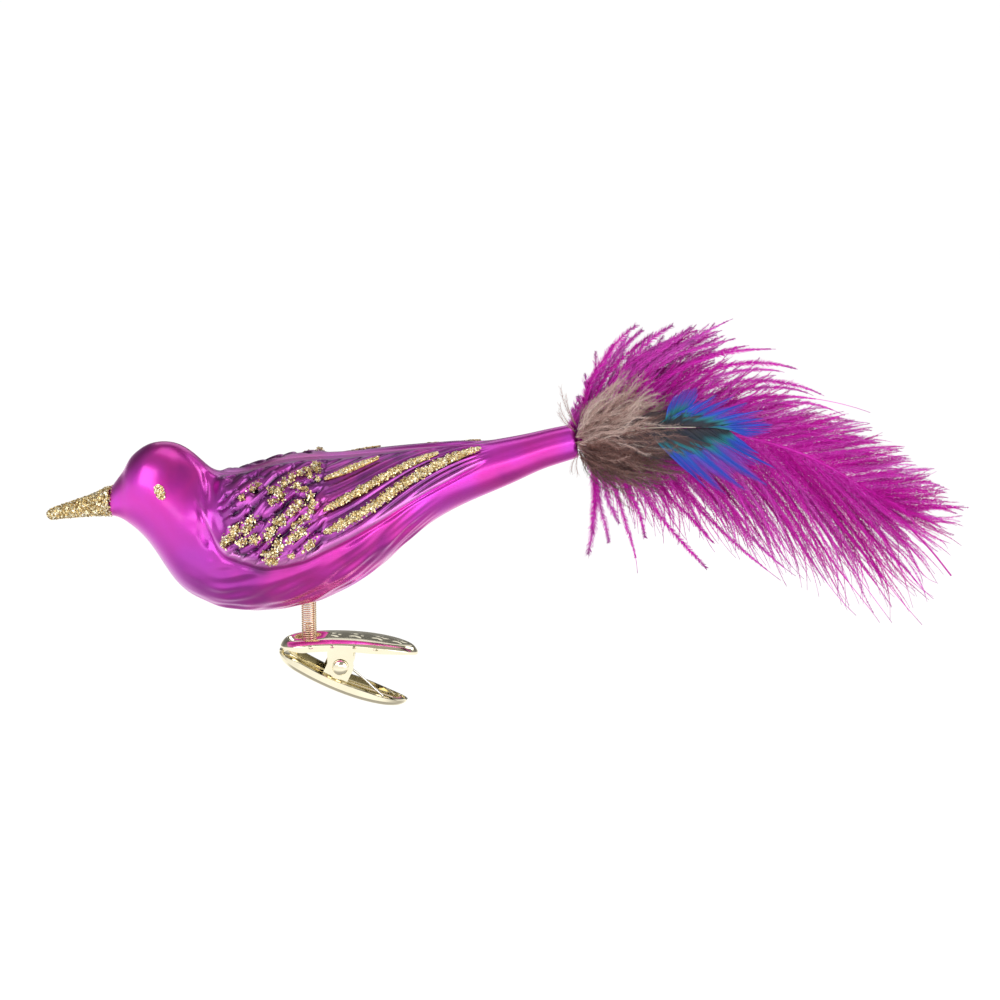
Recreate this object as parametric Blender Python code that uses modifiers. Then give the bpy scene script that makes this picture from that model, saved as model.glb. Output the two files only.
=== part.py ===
"""Clip-on bird ornament: a blown glass bird with a feather tail, on a coil-spring leg and a pressed tin clip.

Frame: +Z up, +X towards the tail, -X towards the beak, Y across. The origin is the point between the
jaws' noses where the clip grips a twig. Dimensions are in millimetres and are scaled to metres by MM.
"""
import math

import bmesh
import bpy
import numpy as np
from mathutils import Matrix, Vector

MM = 0.001
GAP = 0.3                     # air left between neighbouring solids

# ---- glass bird ------------------------------------------------------------------------------
# Lofting table of the blown shell: x, top z, bottom z, half width of the upper lobe (head, back),
# half width of the lower lobe (breast, belly).
BIRD = [
    (-45.0, 27.6, 26.8, 0.4, 0.4),      # point of the beak
    (-43.3, 28.1, 27.2, 0.5, 0.5),
    (-40.0, 29.3, 27.5, 0.9, 0.9),
    (-37.0, 30.3, 27.8, 1.3, 1.3),
    (-34.2, 31.5, 28.0, 1.8, 1.8),
    (-33.2, 32.6, 27.1, 2.8, 2.8),      # the face flares out of the beak
    (-32.0, 34.2, 26.8, 3.8, 3.8),
    (-30.7, 36.0, 26.2, 4.8, 4.7),
    (-29.2, 38.8, 25.1, 6.2, 5.8),
    (-27.0, 40.6, 23.3, 7.4, 7.0),
    (-24.5, 41.6, 20.0, 8.1, 7.9),      # eyes
    (-21.5, 41.7, 14.8, 8.3, 9.2),      # crown
    (-18.5, 40.6, 11.8, 7.9, 10.6),
    (-15.5, 38.1, 10.2, 7.9, 12.0),
    (-12.5, 35.3, 9.2, 9.6, 13.0),      # nape
    (-9.0, 35.4, 8.5, 11.2, 13.9),
    (-5.0, 36.4, 8.3, 12.4, 14.8),      # deepest point of the breast
    (0.0, 37.8, 8.7, 13.4, 15.3),
    (5.0, 38.4, 9.7, 13.6, 15.4),       # widest, over the leg
    (10.0, 38.6, 11.6, 13.2, 15.0),
    (15.0, 39.0, 14.2, 12.2, 13.8),
    (20.0, 39.6, 17.9, 10.8, 11.9),
    (25.0, 40.1, 22.4, 9.2, 9.7),
    (30.0, 40.5, 26.4, 7.5, 7.7),
    (35.0, 41.0, 29.2, 6.1, 6.1),       # the body runs into the tail tube
    (41.0, 41.9, 31.8, 4.9, 4.9),
    (46.0, 42.8, 34.0, 4.2, 4.2),
    (51.0, 43.9, 36.4, 3.55, 3.55),
    (57.2, 45.1, 38.6, 3.1, 3.1),       # open end of the tail tube
]
WALL = 0.8                    # glass thickness
TUBE_END_LEAN = 0.18          # the tube is cut square to its own, rising, axis
# Lower edge of the folded wing: x, angle down from the back (degrees)
WING_EDGE = [(-15.0, 62), (-11.6, 86), (-6.3, 95), (-1.5, 101), (4.3, 100), (10.0, 95), (16.7, 91),
             (23.4, 88), (30.0, 84), (36.8, 72), (41.0, 60)]
WING_PROUD = 0.7              # how far the wing pad stands out of the flank
# Glitter stripes along the flight feathers: (x, angle) at the front, middle and rear, and half width
STRIPES = [
    ("upper", (8.9, 39.5), (14.0, 32.0), (19.3, 23.5), 0.85),
    ("middle", (8.9, 65.0), (20.0, 49.5), (30.7, 33.0), 0.95),
    ("lower", (9.0, 81.5), (23.3, 64.5), (38.9, 34.0), 1.05),
]
# Dabs of glue and glitter on the shoulder feathers: (x, angle), half length, half width, tilt
DABS = [
    ("front", (-7.2, 73.5), 2.6, 1.2, 35),
    ("top", (3.4, 39), 4.0, 1.3, 33),
    ("middle", (-0.3, 79), 3.4, 1.2, 85),
    ("rear", (5.3, 64), 2.4, 1.0, 80),
    ("low", (4.2, 83.5), 1.8, 1.0, 40),
]
EYE = (-22.9, 71)
EYE_R = 0.95

# ---- spring leg --------------------------------------------------------------------------------
LEG_X = 5.0                   # the leg's axis is vertical, at x = LEG_X, y = 0
LEG_OD = 3.0
LEG_WIRE = 0.44
LEG_PITCH = 0.55
LEG_FOOT_Z = 1.8             # underside of the lowest turn's wire
LEG_TOP_Z = 13.6
HOLE_R = 1.9                  # hole in the belly
PITCH_Z = 4.2                 # where the leg's fore-and-aft bend is hinged
ROLL_Z = 7.6                  # where its sideways bend is hinged

# ---- clip --------------------------------------------------------------------------------------
JAW_L = 27.1
NOSE_X = -0.7
JAW_HALF = 4.7                # half width outside
TIN = 0.45
CREST_Z = 2.95                # highest line of the upper jaw's back
CREST_X = 10.6                # where it is, from the nose
CREST_BOW = 0.0088            # how fast it falls away, per mm
PIVOT = (11.3, -2.45)         # x, z of the pin
PIN_R = 0.85
EAR_R = 2.55
LOWER_TILT = -25.5            # degrees, lower jaw against upper
DISH = (5.7, 1.0)             # spring seat, pressed into the upper jaw: x of its centre, depth

# ---- feathers ----------------------------------------------------------------------------------
# Quills: points (x, y, z) from inside the tail tube outwards, and the radius at the foot
LONG_QUILL = [(50.5, 0.0, 40.6), (54.0, 0.0, 41.6), (58.0, 0.0, 42.6), (64.0, 0.0, 43.2), (72.0, 0.0, 43.8),
              (80.0, 0.0, 43.8), (88.0, 0.0, 43.0), (97.0, 0.0, 40.8), (106.0, 0.0, 37.0), (114.0, 0.0, 31.8),
              (121.0, 0.0, 26.0), (127.0, 0.0, 19.8), (131.0, 0.0, 14.8)]
SHORT_QUILL = [(50.5, 0.65, 39.55), (54.0, 0.65, 40.5), (57.5, 1.2, 41.6), (60.0, 2.6, 44.0), (62.5, 4.2, 48.5),
               (65.5, 5.2, 53.0), (70.0, 5.8, 57.4), (75.5, 6.0, 60.6), (81.0, 6.0, 62.6)]
ACCENT_QUILL = [(50.5, -0.65, 39.6), (54.0, -0.65, 40.55), (57.3, -1.2, 41.3), (58.5, -3.2, 41.8), (59.8, -5.6, 42.4),
                (62.0, -6.7, 43.0), (66.0, -7.0, 43.5), (72.0, -7.0, 43.8), (78.0, -7.0, 43.7), (84.0, -7.0, 43.6),
                (90.0, -7.0, 43.4)]
# Vane outlines in the XZ plane, outer edge from foot to tip
LONG_UPPER = [(60.5, 49.5), (66.0, 53.5), (77.0, 57.0), (89.0, 58.0), (101.0, 52.5), (112.0, 46.0), (121.0, 39.5),
              (128.5, 34.5), (133.2, 27.2)]
LONG_LOWER = [(61.0, 36.0), (66.0, 29.5), (74.0, 26.0), (85.0, 23.0), (97.0, 18.0), (109.0, 11.0), (117.5, 6.0),
              (125.0, 9.0), (130.5, 12.0)]
SHORT_LEFT = [(58.5, 47.0), (58.8, 54.0), (61.5, 60.0), (66.0, 64.2), (70.5, 65.2), (77.0, 64.8)]
SHORT_RIGHT = [(66.0, 46.5), (72.0, 49.0), (79.0, 52.5), (86.0, 58.0), (89.5, 61.5)]
ACCENT_UPPER = [(76.5, 49.5), (80.0, 51.5), (85.0, 51.3), (90.0, 49.0), (93.5, 45.5)]
ACCENT_LOWER = [(77.0, 39.0), (81.0, 36.5), (86.0, 34.5), (91.0, 35.0), (94.0, 39.0)]


# ==== plumbing ==================================================================================
for ob in list(bpy.data.objects):
    bpy.data.objects.remove(ob, do_unlink=True)
for coll in list(bpy.data.collections):
    bpy.data.collections.remove(coll)

PARTS = bpy.data.collections.new("clip_on_glass_bird")
CUTTERS = bpy.data.collections.new("cutters")
bpy.context.scene.collection.children.link(PARTS)
bpy.context.scene.collection.children.link(CUTTERS)


def material(name, colour, roughness, metallic=0.0):
    mat = bpy.data.materials.new(name)
    mat.use_nodes = True
    bsdf = mat.node_tree.nodes["Principled BSDF"]
    bsdf.inputs["Base Color"].default_value = (*colour, 1.0)
    bsdf.inputs["Roughness"].default_value = roughness
    bsdf.inputs["Metallic"].default_value = metallic
    mat.diffuse_color = (*colour, 1.0)
    return mat


def paint(ob, colour, roughness, metallic=0.0):
    ob.data.materials.clear()
    ob.data.materials.append(material(ob.name, colour, roughness, metallic))


MAGENTA = (0.62, 0.035, 0.42)
GOLD_GLITTER = (0.62, 0.45, 0.20)
TIN_GOLD = (0.86, 0.76, 0.58)
COPPER = (0.72, 0.45, 0.24)
GLUE = (0.80, 0.76, 0.66)
PLUME = (0.50, 0.03, 0.38)
DOWN_GREY = (0.32, 0.24, 0.20)
ACCENT_BLUE = (0.06, 0.07, 0.45)


def add_object(name, mesh, collection=None):
    ob = bpy.data.objects.new(name, mesh)
    (collection or PARTS).objects.link(ob)
    return ob


def mesh_from_bmesh(name, bm, smooth_deg=40.0):
    bmesh.ops.recalc_face_normals(bm, faces=bm.faces[:])
    mesh = bpy.data.meshes.new(name)
    bm.to_mesh(mesh)
    bm.free()
    mesh.shade_smooth()
    mesh.set_sharp_from_angle(angle=math.radians(smooth_deg))
    return mesh


def curve_object(name, points, radius, radii=None, sides_level=1, collection=None):
    """A wire or quill: a POLY spline with a round bevel and filled ends. Points in mm."""
    cu = bpy.data.curves.new(name, "CURVE")
    cu.dimensions = "3D"
    cu.bevel_depth = radius * MM
    cu.bevel_resolution = sides_level
    cu.use_fill_caps = True
    cu.render_resolution_u = 0
    sp = cu.splines.new("POLY")
    sp.points.add(len(points) - 1)
    for i, p in enumerate(points):
        sp.points[i].co = (p[0] * MM, p[1] * MM, p[2] * MM, 1.0)
        sp.points[i].radius = 1.0 if radii is None else radii[i]
    sp.use_smooth = True
    return add_object(name, cu, collection)


def as_mesh(ob):
    """Replaces a curve object by its welded mesh."""
    bpy.context.view_layer.update()
    dg = bpy.context.evaluated_depsgraph_get()
    mesh = bpy.data.meshes.new_from_object(ob.evaluated_get(dg))
    bm = bmesh.new()
    bm.from_mesh(mesh)
    bmesh.ops.remove_doubles(bm, verts=bm.verts[:], dist=1e-6)
    bmesh.ops.recalc_face_normals(bm, faces=bm.faces[:])
    bm.to_mesh(mesh)
    bm.free()
    name, world, coll = ob.name, ob.matrix_world.copy(), ob.users_collection[0]
    curve = ob.data
    bpy.data.objects.remove(ob, do_unlink=True)
    bpy.data.curves.remove(curve)
    new = bpy.data.objects.new(name, mesh)
    new.matrix_world = world
    coll.objects.link(new)
    return new


def cutter_cylinder(name, radius, length, centre, axis="Z", segments=32):
    bm = bmesh.new()
    bmesh.ops.create_cone(bm, cap_ends=True, cap_tris=False, segments=segments, radius1=radius * MM,
                          radius2=radius * MM, depth=length * MM)
    if axis == "Y":
        bmesh.ops.rotate(bm, verts=bm.verts[:], cent=(0, 0, 0), matrix=Matrix.Rotation(math.pi / 2, 3, "X"))
    bmesh.ops.translate(bm, verts=bm.verts[:], vec=Vector(centre) * MM)
    ob = add_object(name, mesh_from_bmesh(name, bm), CUTTERS)
    ob.hide_render = True
    ob.display_type = "WIRE"
    return ob


def boolean(ob, cutter, operation="DIFFERENCE"):
    mod = ob.modifiers.new(operation.lower() + "_" + cutter.name, "BOOLEAN")
    mod.object = cutter
    mod.operation = operation
    mod.solver = "EXACT"
    return mod


def monotone(xs, ys):
    """Monotone cubic through the points (xs, ys), as a function of one array."""
    x, y = np.array(xs, float), np.array(ys, float)
    h = np.diff(x)
    d = np.diff(y) / h
    m = np.zeros(len(x))
    for i in range(1, len(x) - 1):
        if d[i - 1] * d[i] > 0:
            w1, w2 = 2 * h[i] + h[i - 1], h[i] + 2 * h[i - 1]
            m[i] = (w1 + w2) / (w1 / d[i - 1] + w2 / d[i])
    m[0], m[-1] = d[0], d[-1]

    def f(q):
        q = np.clip(np.asarray(q, float), x[0], x[-1])
        i = np.clip(np.searchsorted(x, q) - 1, 0, len(h) - 1)
        s = (q - x[i]) / h[i]
        return (y[i] * (1 + 2 * s) * (1 - s) ** 2 + h[i] * m[i] * s * (1 - s) ** 2
                + y[i + 1] * s * s * (3 - 2 * s) + h[i] * m[i + 1] * s * s * (s - 1))
    return f


def smoothstep(a, b, v):
    s = np.clip((np.asarray(v, float) - a) / (b - a), 0.0, 1.0)
    return s * s * (3 - 2 * s)


TABLE = np.array(BIRD)
TOP, BOTTOM, UPPER_W, LOWER_W = (monotone(TABLE[:, 0], TABLE[:, k]) for k in (1, 2, 3, 4))
EDGE = monotone([p[0] for p in WING_EDGE], [p[1] for p in WING_EDGE])


def wing_pad(x, t):
    """0 on the plain glass, 1 on the folded wing. t is the angle from the top of the back."""
    tau = np.degrees(np.abs((np.asarray(t, float) + math.pi) % (2 * math.pi) - math.pi))
    span = smoothstep(-15.0, -8.0, x) * (1 - smoothstep(33.0, 42.0, x))
    return span * (1 - smoothstep(EDGE(x) - 7, EDGE(x) + 5, tau)) * smoothstep(4.0, 16.0, tau)


def smooth_skin(x, t):
    x, t = np.asarray(x, float), np.asarray(t, float)
    a, zc = (TOP(x) - BOTTOM(x)) / 2, (TOP(x) + BOTTOM(x)) / 2
    w = LOWER_W(x) + (UPPER_W(x) - LOWER_W(x)) * (0.5 + 0.5 * np.cos(t))
    lean = TUBE_END_LEAN * smoothstep(48.0, 57.2, x)
    dz = a * np.cos(t)
    return np.stack([x - lean * dz, w * np.sin(t), zc + dz], -1)


def skin(x, t, off=0.0):
    """Points of the bird's surface, moved off mm along its normal."""
    x, t = np.broadcast_arrays(np.asarray(x, float), np.asarray(t, float))
    e = 0.02
    du = smooth_skin(x + e, t) - smooth_skin(x - e, t)
    dv = smooth_skin(x, t + e) - smooth_skin(x, t - e)
    n = np.cross(dv, du)
    n /= np.linalg.norm(n, axis=-1, keepdims=True) + 1e-12
    radial = smooth_skin(x, t) - np.stack([x, 0 * x, (TOP(x) + BOTTOM(x)) / 2], -1)
    n *= np.where(np.sum(n * radial, -1, keepdims=True) < 0, -1.0, 1.0)
    return smooth_skin(x, t) + n * (off + WING_PROUD * wing_pad(x, t))[..., None]


def loft(bm, rings, closed=True):
    """Quads between rings of bmesh vertices with equal counts."""
    for a, b in zip(rings[:-1], rings[1:]):
        n = len(a)
        for i in range(n if closed else n - 1):
            j = (i + 1) % n
            bm.faces.new((a[i], a[j], b[j], b[i]))


def fan(bm, ring, tip):
    for i in range(len(ring)):
        bm.faces.new((ring[i], ring[(i + 1) % len(ring)], tip))


def ring_verts(bm, points):
    return [bm.verts.new(Vector(p) * MM) for p in points]


# ==== glass body ================================================================================
SIDES = 32
ANGLES = np.arange(SIDES) * 2 * math.pi / SIDES


def glass_body():
    xs = [-44.7, -43.3, -40.0, -37.0, -34.4, -33.7, -33.2, -32.4, -31.4, -30.2, -29.0, -27.2, -25.0, -22.6, -20.2,
          -17.8, -15.6, -13.6, -11.6, -9.0, -6.0, -2.5, 1.0, 5.0, 9.0, 13.0, 17.0, 21.0, 25.0, 29.0, 33.0, 37.0,
          41.5, 46.5, 51.5, 54.5, 57.2]
    bm = bmesh.new()
    outer = [ring_verts(bm, skin(np.full(SIDES, x), ANGLES)) for x in xs]
    loft(bm, outer)
    fan(bm, outer[0], bm.verts.new(Vector((-45.1, 0.0, 27.15)) * MM))
    inner_xs = [x for x in xs if x >= -31.4]
    inner = [ring_verts(bm, skin(np.full(SIDES, x), ANGLES, -WALL)) for x in inner_xs]
    loft(bm, inner)
    fan(bm, inner[0], bm.verts.new(Vector((-32.2, 0.0, 30.4)) * MM))
    loft(bm, [outer[-1], inner[-1]])
    ob = add_object("glass_body", mesh_from_bmesh("glass_body", bm, 60))
    boolean(ob, cutter_cylinder("belly_hole_cutter", HOLE_R, 8.0, (LEG_X, 0, 10.0)))
    paint(ob, MAGENTA, 0.28, 0.9)
    return ob


glass_body()


# ==== glitter ===================================================================================
def beak_glitter():
    """A crust round the beak, open at its root, following the glass 0.3 mm off it."""
    outline = [(-45.6, 0.5), (-45.1, 0.88), (-43.3, 1.17), (-40.2, 1.58), (-37.0, 2.02), (-35.2, 2.42), (-33.75, 2.75)]
    n = 20
    ang = np.arange(n) * 2 * math.pi / n
    bm = bmesh.new()

    def centre(x):
        return (TOP(x) + BOTTOM(x)) / 2

    outer, inner = [], []
    for x, r in outline:
        outer.append(ring_verts(bm, [(x, r * math.sin(a), float(centre(x)) + r * math.cos(a)) for a in ang]))
    inner.append(ring_verts(bm, [(-44.95, 0.58 * math.sin(a), 27.2 + 0.58 * math.cos(a)) for a in ang]))
    for x, r in outline[2:]:
        ri = (float(TOP(x)) - float(BOTTOM(x))) / 2 + GAP
        ri = min(ri, r - 0.3) if x < -34 else r - 0.32
        inner.append(ring_verts(bm, [(x, ri * math.sin(a), float(centre(x)) + ri * math.cos(a)) for a in ang]))
    loft(bm, outer)
    loft(bm, inner)
    fan(bm, outer[0], bm.verts.new(Vector((-45.9, 0, 27.0)) * MM))
    fan(bm, inner[0], bm.verts.new(Vector((-45.5, 0, 27.15)) * MM))
    loft(bm, [outer[-1], inner[-1]])
    ob = add_object("beak_glitter_coat", mesh_from_bmesh("beak_glitter_coat", bm))
    paint(ob, GOLD_GLITTER, 0.45, 0.8)


beak_glitter()


def surface_frame(x, tau_deg, side):
    """Position, normal and two tangents of the skin; side is -1 for y < 0 and +1 for y > 0."""
    t = math.radians(tau_deg) * side
    p = skin(x, t)
    du = skin(x + 0.05, t) - skin(x - 0.05, t)
    dv = skin(x, t + 0.01) - skin(x, t - 0.01)
    du /= np.linalg.norm(du)
    n = np.cross(du, dv)
    n /= np.linalg.norm(n)
    if n[1] * side < 0 and abs(n[1]) > 0.05:
        n = -n
    return Vector(p), Vector(n), Vector(du)


def dab(name, x, tau, side, half_l, half_w, tilt, height=0.3):
    """A low dome of glitter: a flattened ball lying 0.3 mm off the glass."""
    p, n, u = surface_frame(x, tau, side)
    v = n.cross(u)
    lift = GAP + height + 0.5 * half_l ** 2 / 14.0
    bm = bmesh.new()
    bmesh.ops.create_uvsphere(bm, u_segments=12, v_segments=6, radius=1.0)
    bmesh.ops.scale(bm, verts=bm.verts[:], vec=(half_l, half_w, height))
    turn = Matrix.Rotation(math.radians(tilt) * -side, 3, "Z")
    basis = Matrix((u, v, n)).transposed()
    for vert in bm.verts:
        q = turn @ vert.co
        bend = (q.x ** 2 + q.y ** 2) / (2 * 15.0)
        vert.co = (p + basis @ Vector((q.x, q.y, q.z + lift - bend))) * MM
    ob = add_object(name, mesh_from_bmesh(name, bm))
    paint(ob, GOLD_GLITTER, 0.45, 0.8)


def stripe(name, a, b, c, half_w, side):
    """A tapering line of glitter laid along the wing, from a through b to c."""
    n = 13
    s = np.linspace(0.0, 1.0, n)
    x = (1 - s) ** 2 * a[0] + 2 * s * (1 - s) * (2 * b[0] - 0.5 * (a[0] + c[0])) + s ** 2 * c[0]
    tau = (1 - s) ** 2 * a[1] + 2 * s * (1 - s) * (2 * b[1] - 0.5 * (a[1] + c[1])) + s ** 2 * c[1]
    t = np.radians(tau) * side
    mid = skin(x, t)
    along = np.gradient(mid, axis=0)
    along /= np.linalg.norm(along, axis=1, keepdims=True)
    lifted = skin(x, t, 1.0) - mid
    lifted /= np.linalg.norm(lifted, axis=1, keepdims=True)
    across = np.cross(lifted, along)
    width = half_w * np.sqrt(np.clip(1 - np.abs(2 * s - 1) ** 3, 0.04, 1))
    bm = bmesh.new()
    rings = []
    for i in range(n):
        w = width[i]
        drop = w * w / (2 * 9.0)
        low, mid_h, high = 0.42 - drop, 0.55 - drop, 0.85
        prof = [(-w, low), (-0.6 * w, mid_h + 0.12), (0, high), (0.6 * w, mid_h + 0.12), (w, low), (0, 0.38)]
        rings.append(ring_verts(bm, [mid[i] + across[i] * q[0] + lifted[i] * q[1] for q in prof]))
    loft(bm, rings)
    bm.faces.new(rings[0])
    bm.faces.new(rings[-1])
    ob = add_object(name, mesh_from_bmesh(name, bm))
    paint(ob, GOLD_GLITTER, 0.45, 0.8)


for side, word in ((-1, "right"), (1, "left")):
    dab("eye_glitter_" + word, EYE[0], EYE[1], side, EYE_R, EYE_R, 0)
    for label, a, b, c, half_w in STRIPES:
        stripe(f"wing_stripe_{label}_{word}", a, b, c, half_w, side)
    for label, at, half_l, half_w, tilt in DABS:
        dab(f"glitter_dab_{label}_{word}", at[0], at[1], side, half_l, half_w, tilt)


# ==== spring leg ================================================================================
def leg_spring():
    r = LEG_OD / 2 - LEG_WIRE / 2
    turns = (LEG_TOP_Z - LEG_FOOT_Z - LEG_WIRE) / LEG_PITCH
    per_turn = 9
    n = int(turns * per_turn)
    pts = []
    for i in range(n + 1):
        a = 2 * math.pi * i / per_turn
        pts.append((LEG_X + r * math.cos(a), r * math.sin(a), LEG_FOOT_Z + LEG_WIRE / 2 + LEG_PITCH * i / per_turn))
    ob = as_mesh(curve_object("leg_spring", pts, LEG_WIRE / 2))
    ob.data.shade_smooth()
    paint(ob, COPPER, 0.3, 1.0)


leg_spring()


def turned(name, profile, centre, axis="Z", steps=28, colour=TIN_GOLD, rough=0.2):
    """A turned piece: profile (radius, height), both in mm, runs down the outer side; its ends are on the axis,
    or it is a closed loop for a ring."""
    bm = bmesh.new()
    vs = [bm.verts.new((r * MM, 0, h * MM)) for r, h in profile]
    for a, b in zip(vs[:-1], vs[1:]):
        bm.edges.new((a, b))
    if profile[0][0] > 1e-6:
        bm.edges.new((vs[-1], vs[0]))
    mesh = bpy.data.meshes.new(name)
    bm.to_mesh(mesh)
    bm.free()
    ob = add_object(name, mesh)
    mod = ob.modifiers.new("turn", "SCREW")
    mod.steps = steps
    mod.render_steps = steps
    mod.use_merge_vertices = True
    mod.merge_threshold = 0.00001
    mod.use_smooth_shade = True
    ob.location = Vector(centre) * MM
    if axis == "Y":
        ob.rotation_euler = (math.pi / 2, 0, 0)
    paint(ob, colour, rough, 1.0)
    return ob


SEAT_TOP = 1.5               # top of the tin where the leg stands
# Tubular rivet that holds the foot of the spring: head under the tin, shank up into the coil
turned("spring_post", [(0.0, 5.2), (0.55, 5.2), (0.75, 4.9), (0.75, SEAT_TOP - TIN - GAP),
                       (1.25, SEAT_TOP - TIN - GAP - 0.1), (1.25, 0.35), (0.9, 0.1), (0.0, 0.05)],
       (LEG_X, 0, 0), steps=20)


def belly_glue_plug():
    """Glue inside the belly round the top of the spring: a disc cut to the inside of the glass."""
    plug = cutter_cylinder("belly_glue_plug", 3.7, 6.0, (LEG_X, 0, 11.0), segments=28)
    CUTTERS.objects.unlink(plug)
    PARTS.objects.link(plug)
    plug.hide_render = False
    plug.display_type = "TEXTURED"
    bm = bmesh.new()
    rings = []
    for x in (-4.0, -1.0, 1.5, 4.0, 6.5, 9.0, 12.0):
        rings.append(ring_verts(bm, skin(np.full(SIDES, x), ANGLES, -(WALL + GAP))))
    loft(bm, rings)
    bm.faces.new(rings[0])
    bm.faces.new(rings[-1])
    cavity = add_object("cavity_guide", mesh_from_bmesh("cavity_guide", bm), CUTTERS)
    cavity.hide_render = True
    cavity.display_type = "WIRE"
    boolean(plug, cavity, "INTERSECT")
    boolean(plug, cutter_cylinder("spring_clearance", LEG_OD / 2 + GAP, 14.0, (LEG_X, 0, 11.0), segments=28))
    paint(plug, GLUE, 0.4)


belly_glue_plug()


# ==== clip ======================================================================================
def plan_half(x):
    """Half width of a jaw, x mm behind its nose: round nose, straight sides, tapering handle."""
    nose = math.sqrt(max(0.0, 1 - (max(0.0, 4.6 - x) / 4.6) ** 2))
    tail = math.sqrt(max(0.0, 1 - (max(0.0, x - 16.0) / (JAW_L - 16.0)) ** 2.3))
    return JAW_HALF * min(nose, 1.0) * min(tail, 1.0)


def crest(x):
    return CREST_Z - CREST_BOW * (x - CREST_X) ** 2


def wall_height(x):
    return 1.0 + 0.95 * float(smoothstep(0.0, 5.0, x)) - 0.75 * float(smoothstep(17.0, JAW_L, x))


def jaw(name, ears_in, dish):
    """One pressed tin channel, nose at x = 0, its back up: walls, rounded shoulder, crowned back and two ears."""
    pivot_x = PIVOT[0] - NOSE_X
    pivot_z = PIVOT[1]
    ear_angles = np.radians(np.linspace(-90, 90, 11))
    ear_x = [pivot_x + EAR_R * math.sin(a) for a in ear_angles]
    side_x = [4.6, 6.3, 7.8] + ear_x + [16.0, 17.8, 19.6, 21.4, 23.0, 24.4, 25.5, 26.3, 26.8]
    nose_x = [4.6 * (1 - math.cos(a)) for a in np.radians((14, 28, 42, 57, 73))]
    xs = nose_x + side_x
    # closed outline, clockwise from the nose tip: the far side, then the near side back again
    outline = [(0.0, 0.0)] + [(x, plan_half(x)) for x in xs] + [(JAW_L, 0.0)] + [(x, -plan_half(x)) for x in xs[::-1]]
    n = len(outline)
    cx = np.array([min(max(x, 4.6), 23.5) for x, y in outline])
    bm = bmesh.new()

    def ring(inset, drop):
        pts = []
        for k, (x, y) in enumerate(outline):
            v = Vector((x - cx[k], y))
            size = v.length
            f = max(0.0, (size - inset)) / size if size > 1e-6 else 0.0
            px, py = cx[k] + v.x * f, v.y * f
            pts.append((px, py, drop(px, py)))
        return pts

    def back(px, py):
        z = crest(px) + 0.25 * (1 - (py / JAW_HALF) ** 2)
        if dish:
            d = ((px - DISH[0]) / 4.6) ** 2 + (py / 3.3) ** 2
            z -= (DISH[1] + 0.25) * float(1 - smoothstep(0.45, 1.0, d))
        return z - 0.25

    rim_z = [crest(x) - 0.35 - wall_height(x) for x, y in outline]
    rim = ring_verts(bm, [(x, y, rim_z[k]) for k, (x, y) in enumerate(outline)])
    rings = [rim,
             ring_verts(bm, ring(0.0, lambda a, b: crest(a) - 0.8)),
             ring_verts(bm, ring(0.22, lambda a, b: crest(a) - 0.42)),
             ring_verts(bm, ring(0.7, lambda a, b: crest(a) - 0.28)),
             ring_verts(bm, ring(1.25, back)),
             ring_verts(bm, ring(2.3, back)),
             ring_verts(bm, ring(3.5, back))]
    loft(bm, rings)
    # the strip down the middle of the back joins the innermost ring to itself
    last = rings[-1]
    half = n // 2
    for k in range(0, half):
        a, b = last[k], last[(k + 1) % n]
        c, d = last[(n - k - 1) % n], last[(n - k) % n]
        quad = []
        for v in (a, b, c, d):
            if v not in quad:
                quad.append(v)
        if len(quad) >= 3:
            bm.faces.new(quad)
    # ears: columns of the outline between the ear's edges, carried on down round the pin
    step = 0.0 if not ears_in else TIN + GAP + 0.05
    first = 1 + len(nose_x) + 3
    for side in (0, 1):
        cols = [first + i for i in range(len(ear_x))]
        if side:
            cols = [(n - c) % n for c in cols]
        sgn = -1 if side else 1
        rows = [[rim[c] for c in cols]]
        if step:
            rows.append(ring_verts(bm, [(outline[c][0], sgn * (plan_half(outline[c][0]) - step), rim_z[c] - 0.55)
                                        for c in cols]))
        depth = []
        for c in cols:
            dx = outline[c][0] - pivot_x
            depth.append(pivot_z - math.sqrt(max(0.0, EAR_R ** 2 - dx * dx)))
        for f in (0.5, 1.0):
            pts = []
            for i, c in enumerate(cols):
                top = rim_z[c] - (0.55 if step else 0.0)
                pts.append((outline[c][0], sgn * (plan_half(outline[c][0]) - step), top + (depth[i] - top) * f))
            rows.append(ring_verts(bm, pts))
        loft(bm, rows, closed=False)
    bmesh.ops.remove_doubles(bm, verts=bm.verts[:], dist=1e-7)
    bmesh.ops.recalc_face_normals(bm, faces=bm.faces[:])
    up = sum((f.normal.z * f.calc_area() for f in bm.faces), 0.0)
    if up < 0:
        bmesh.ops.reverse_faces(bm, faces=bm.faces[:])
    mesh = bpy.data.meshes.new(name)
    bm.to_mesh(mesh)
    bm.free()
    mesh.shade_smooth()
    ob = add_object(name, mesh)
    solid = ob.modifiers.new("tin", "SOLIDIFY")
    solid.thickness = TIN * MM
    solid.offset = -1.0
    solid.use_even_offset = False
    paint(ob, TIN_GOLD, 0.18, 1.0)
    return ob


def place(ob, matrix):
    ob.data.transform(matrix)
    ob.data.update()


upper = jaw("clip_upper_jaw", False, True)
place(upper, Matrix.Translation(Vector((NOSE_X, 0, 0)) * MM))
# the jaw's origin is on the pin's axis
pin_at = Vector((PIVOT[0], 0, PIVOT[1])) * MM
place(upper, Matrix.Translation(-pin_at))
upper.location = pin_at

lower = jaw("clip_lower_jaw", True, False)
place(lower, Matrix.Translation(Vector((NOSE_X - PIVOT[0], 0, -PIVOT[1])) * MM))
place(lower, Matrix.Scale(-1.0, 4, (0, 0, 1)))
lower.data.flip_normals()
place(lower, Matrix.Rotation(math.radians(-LOWER_TILT), 4, "Y"))
lower.location = pin_at

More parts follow.
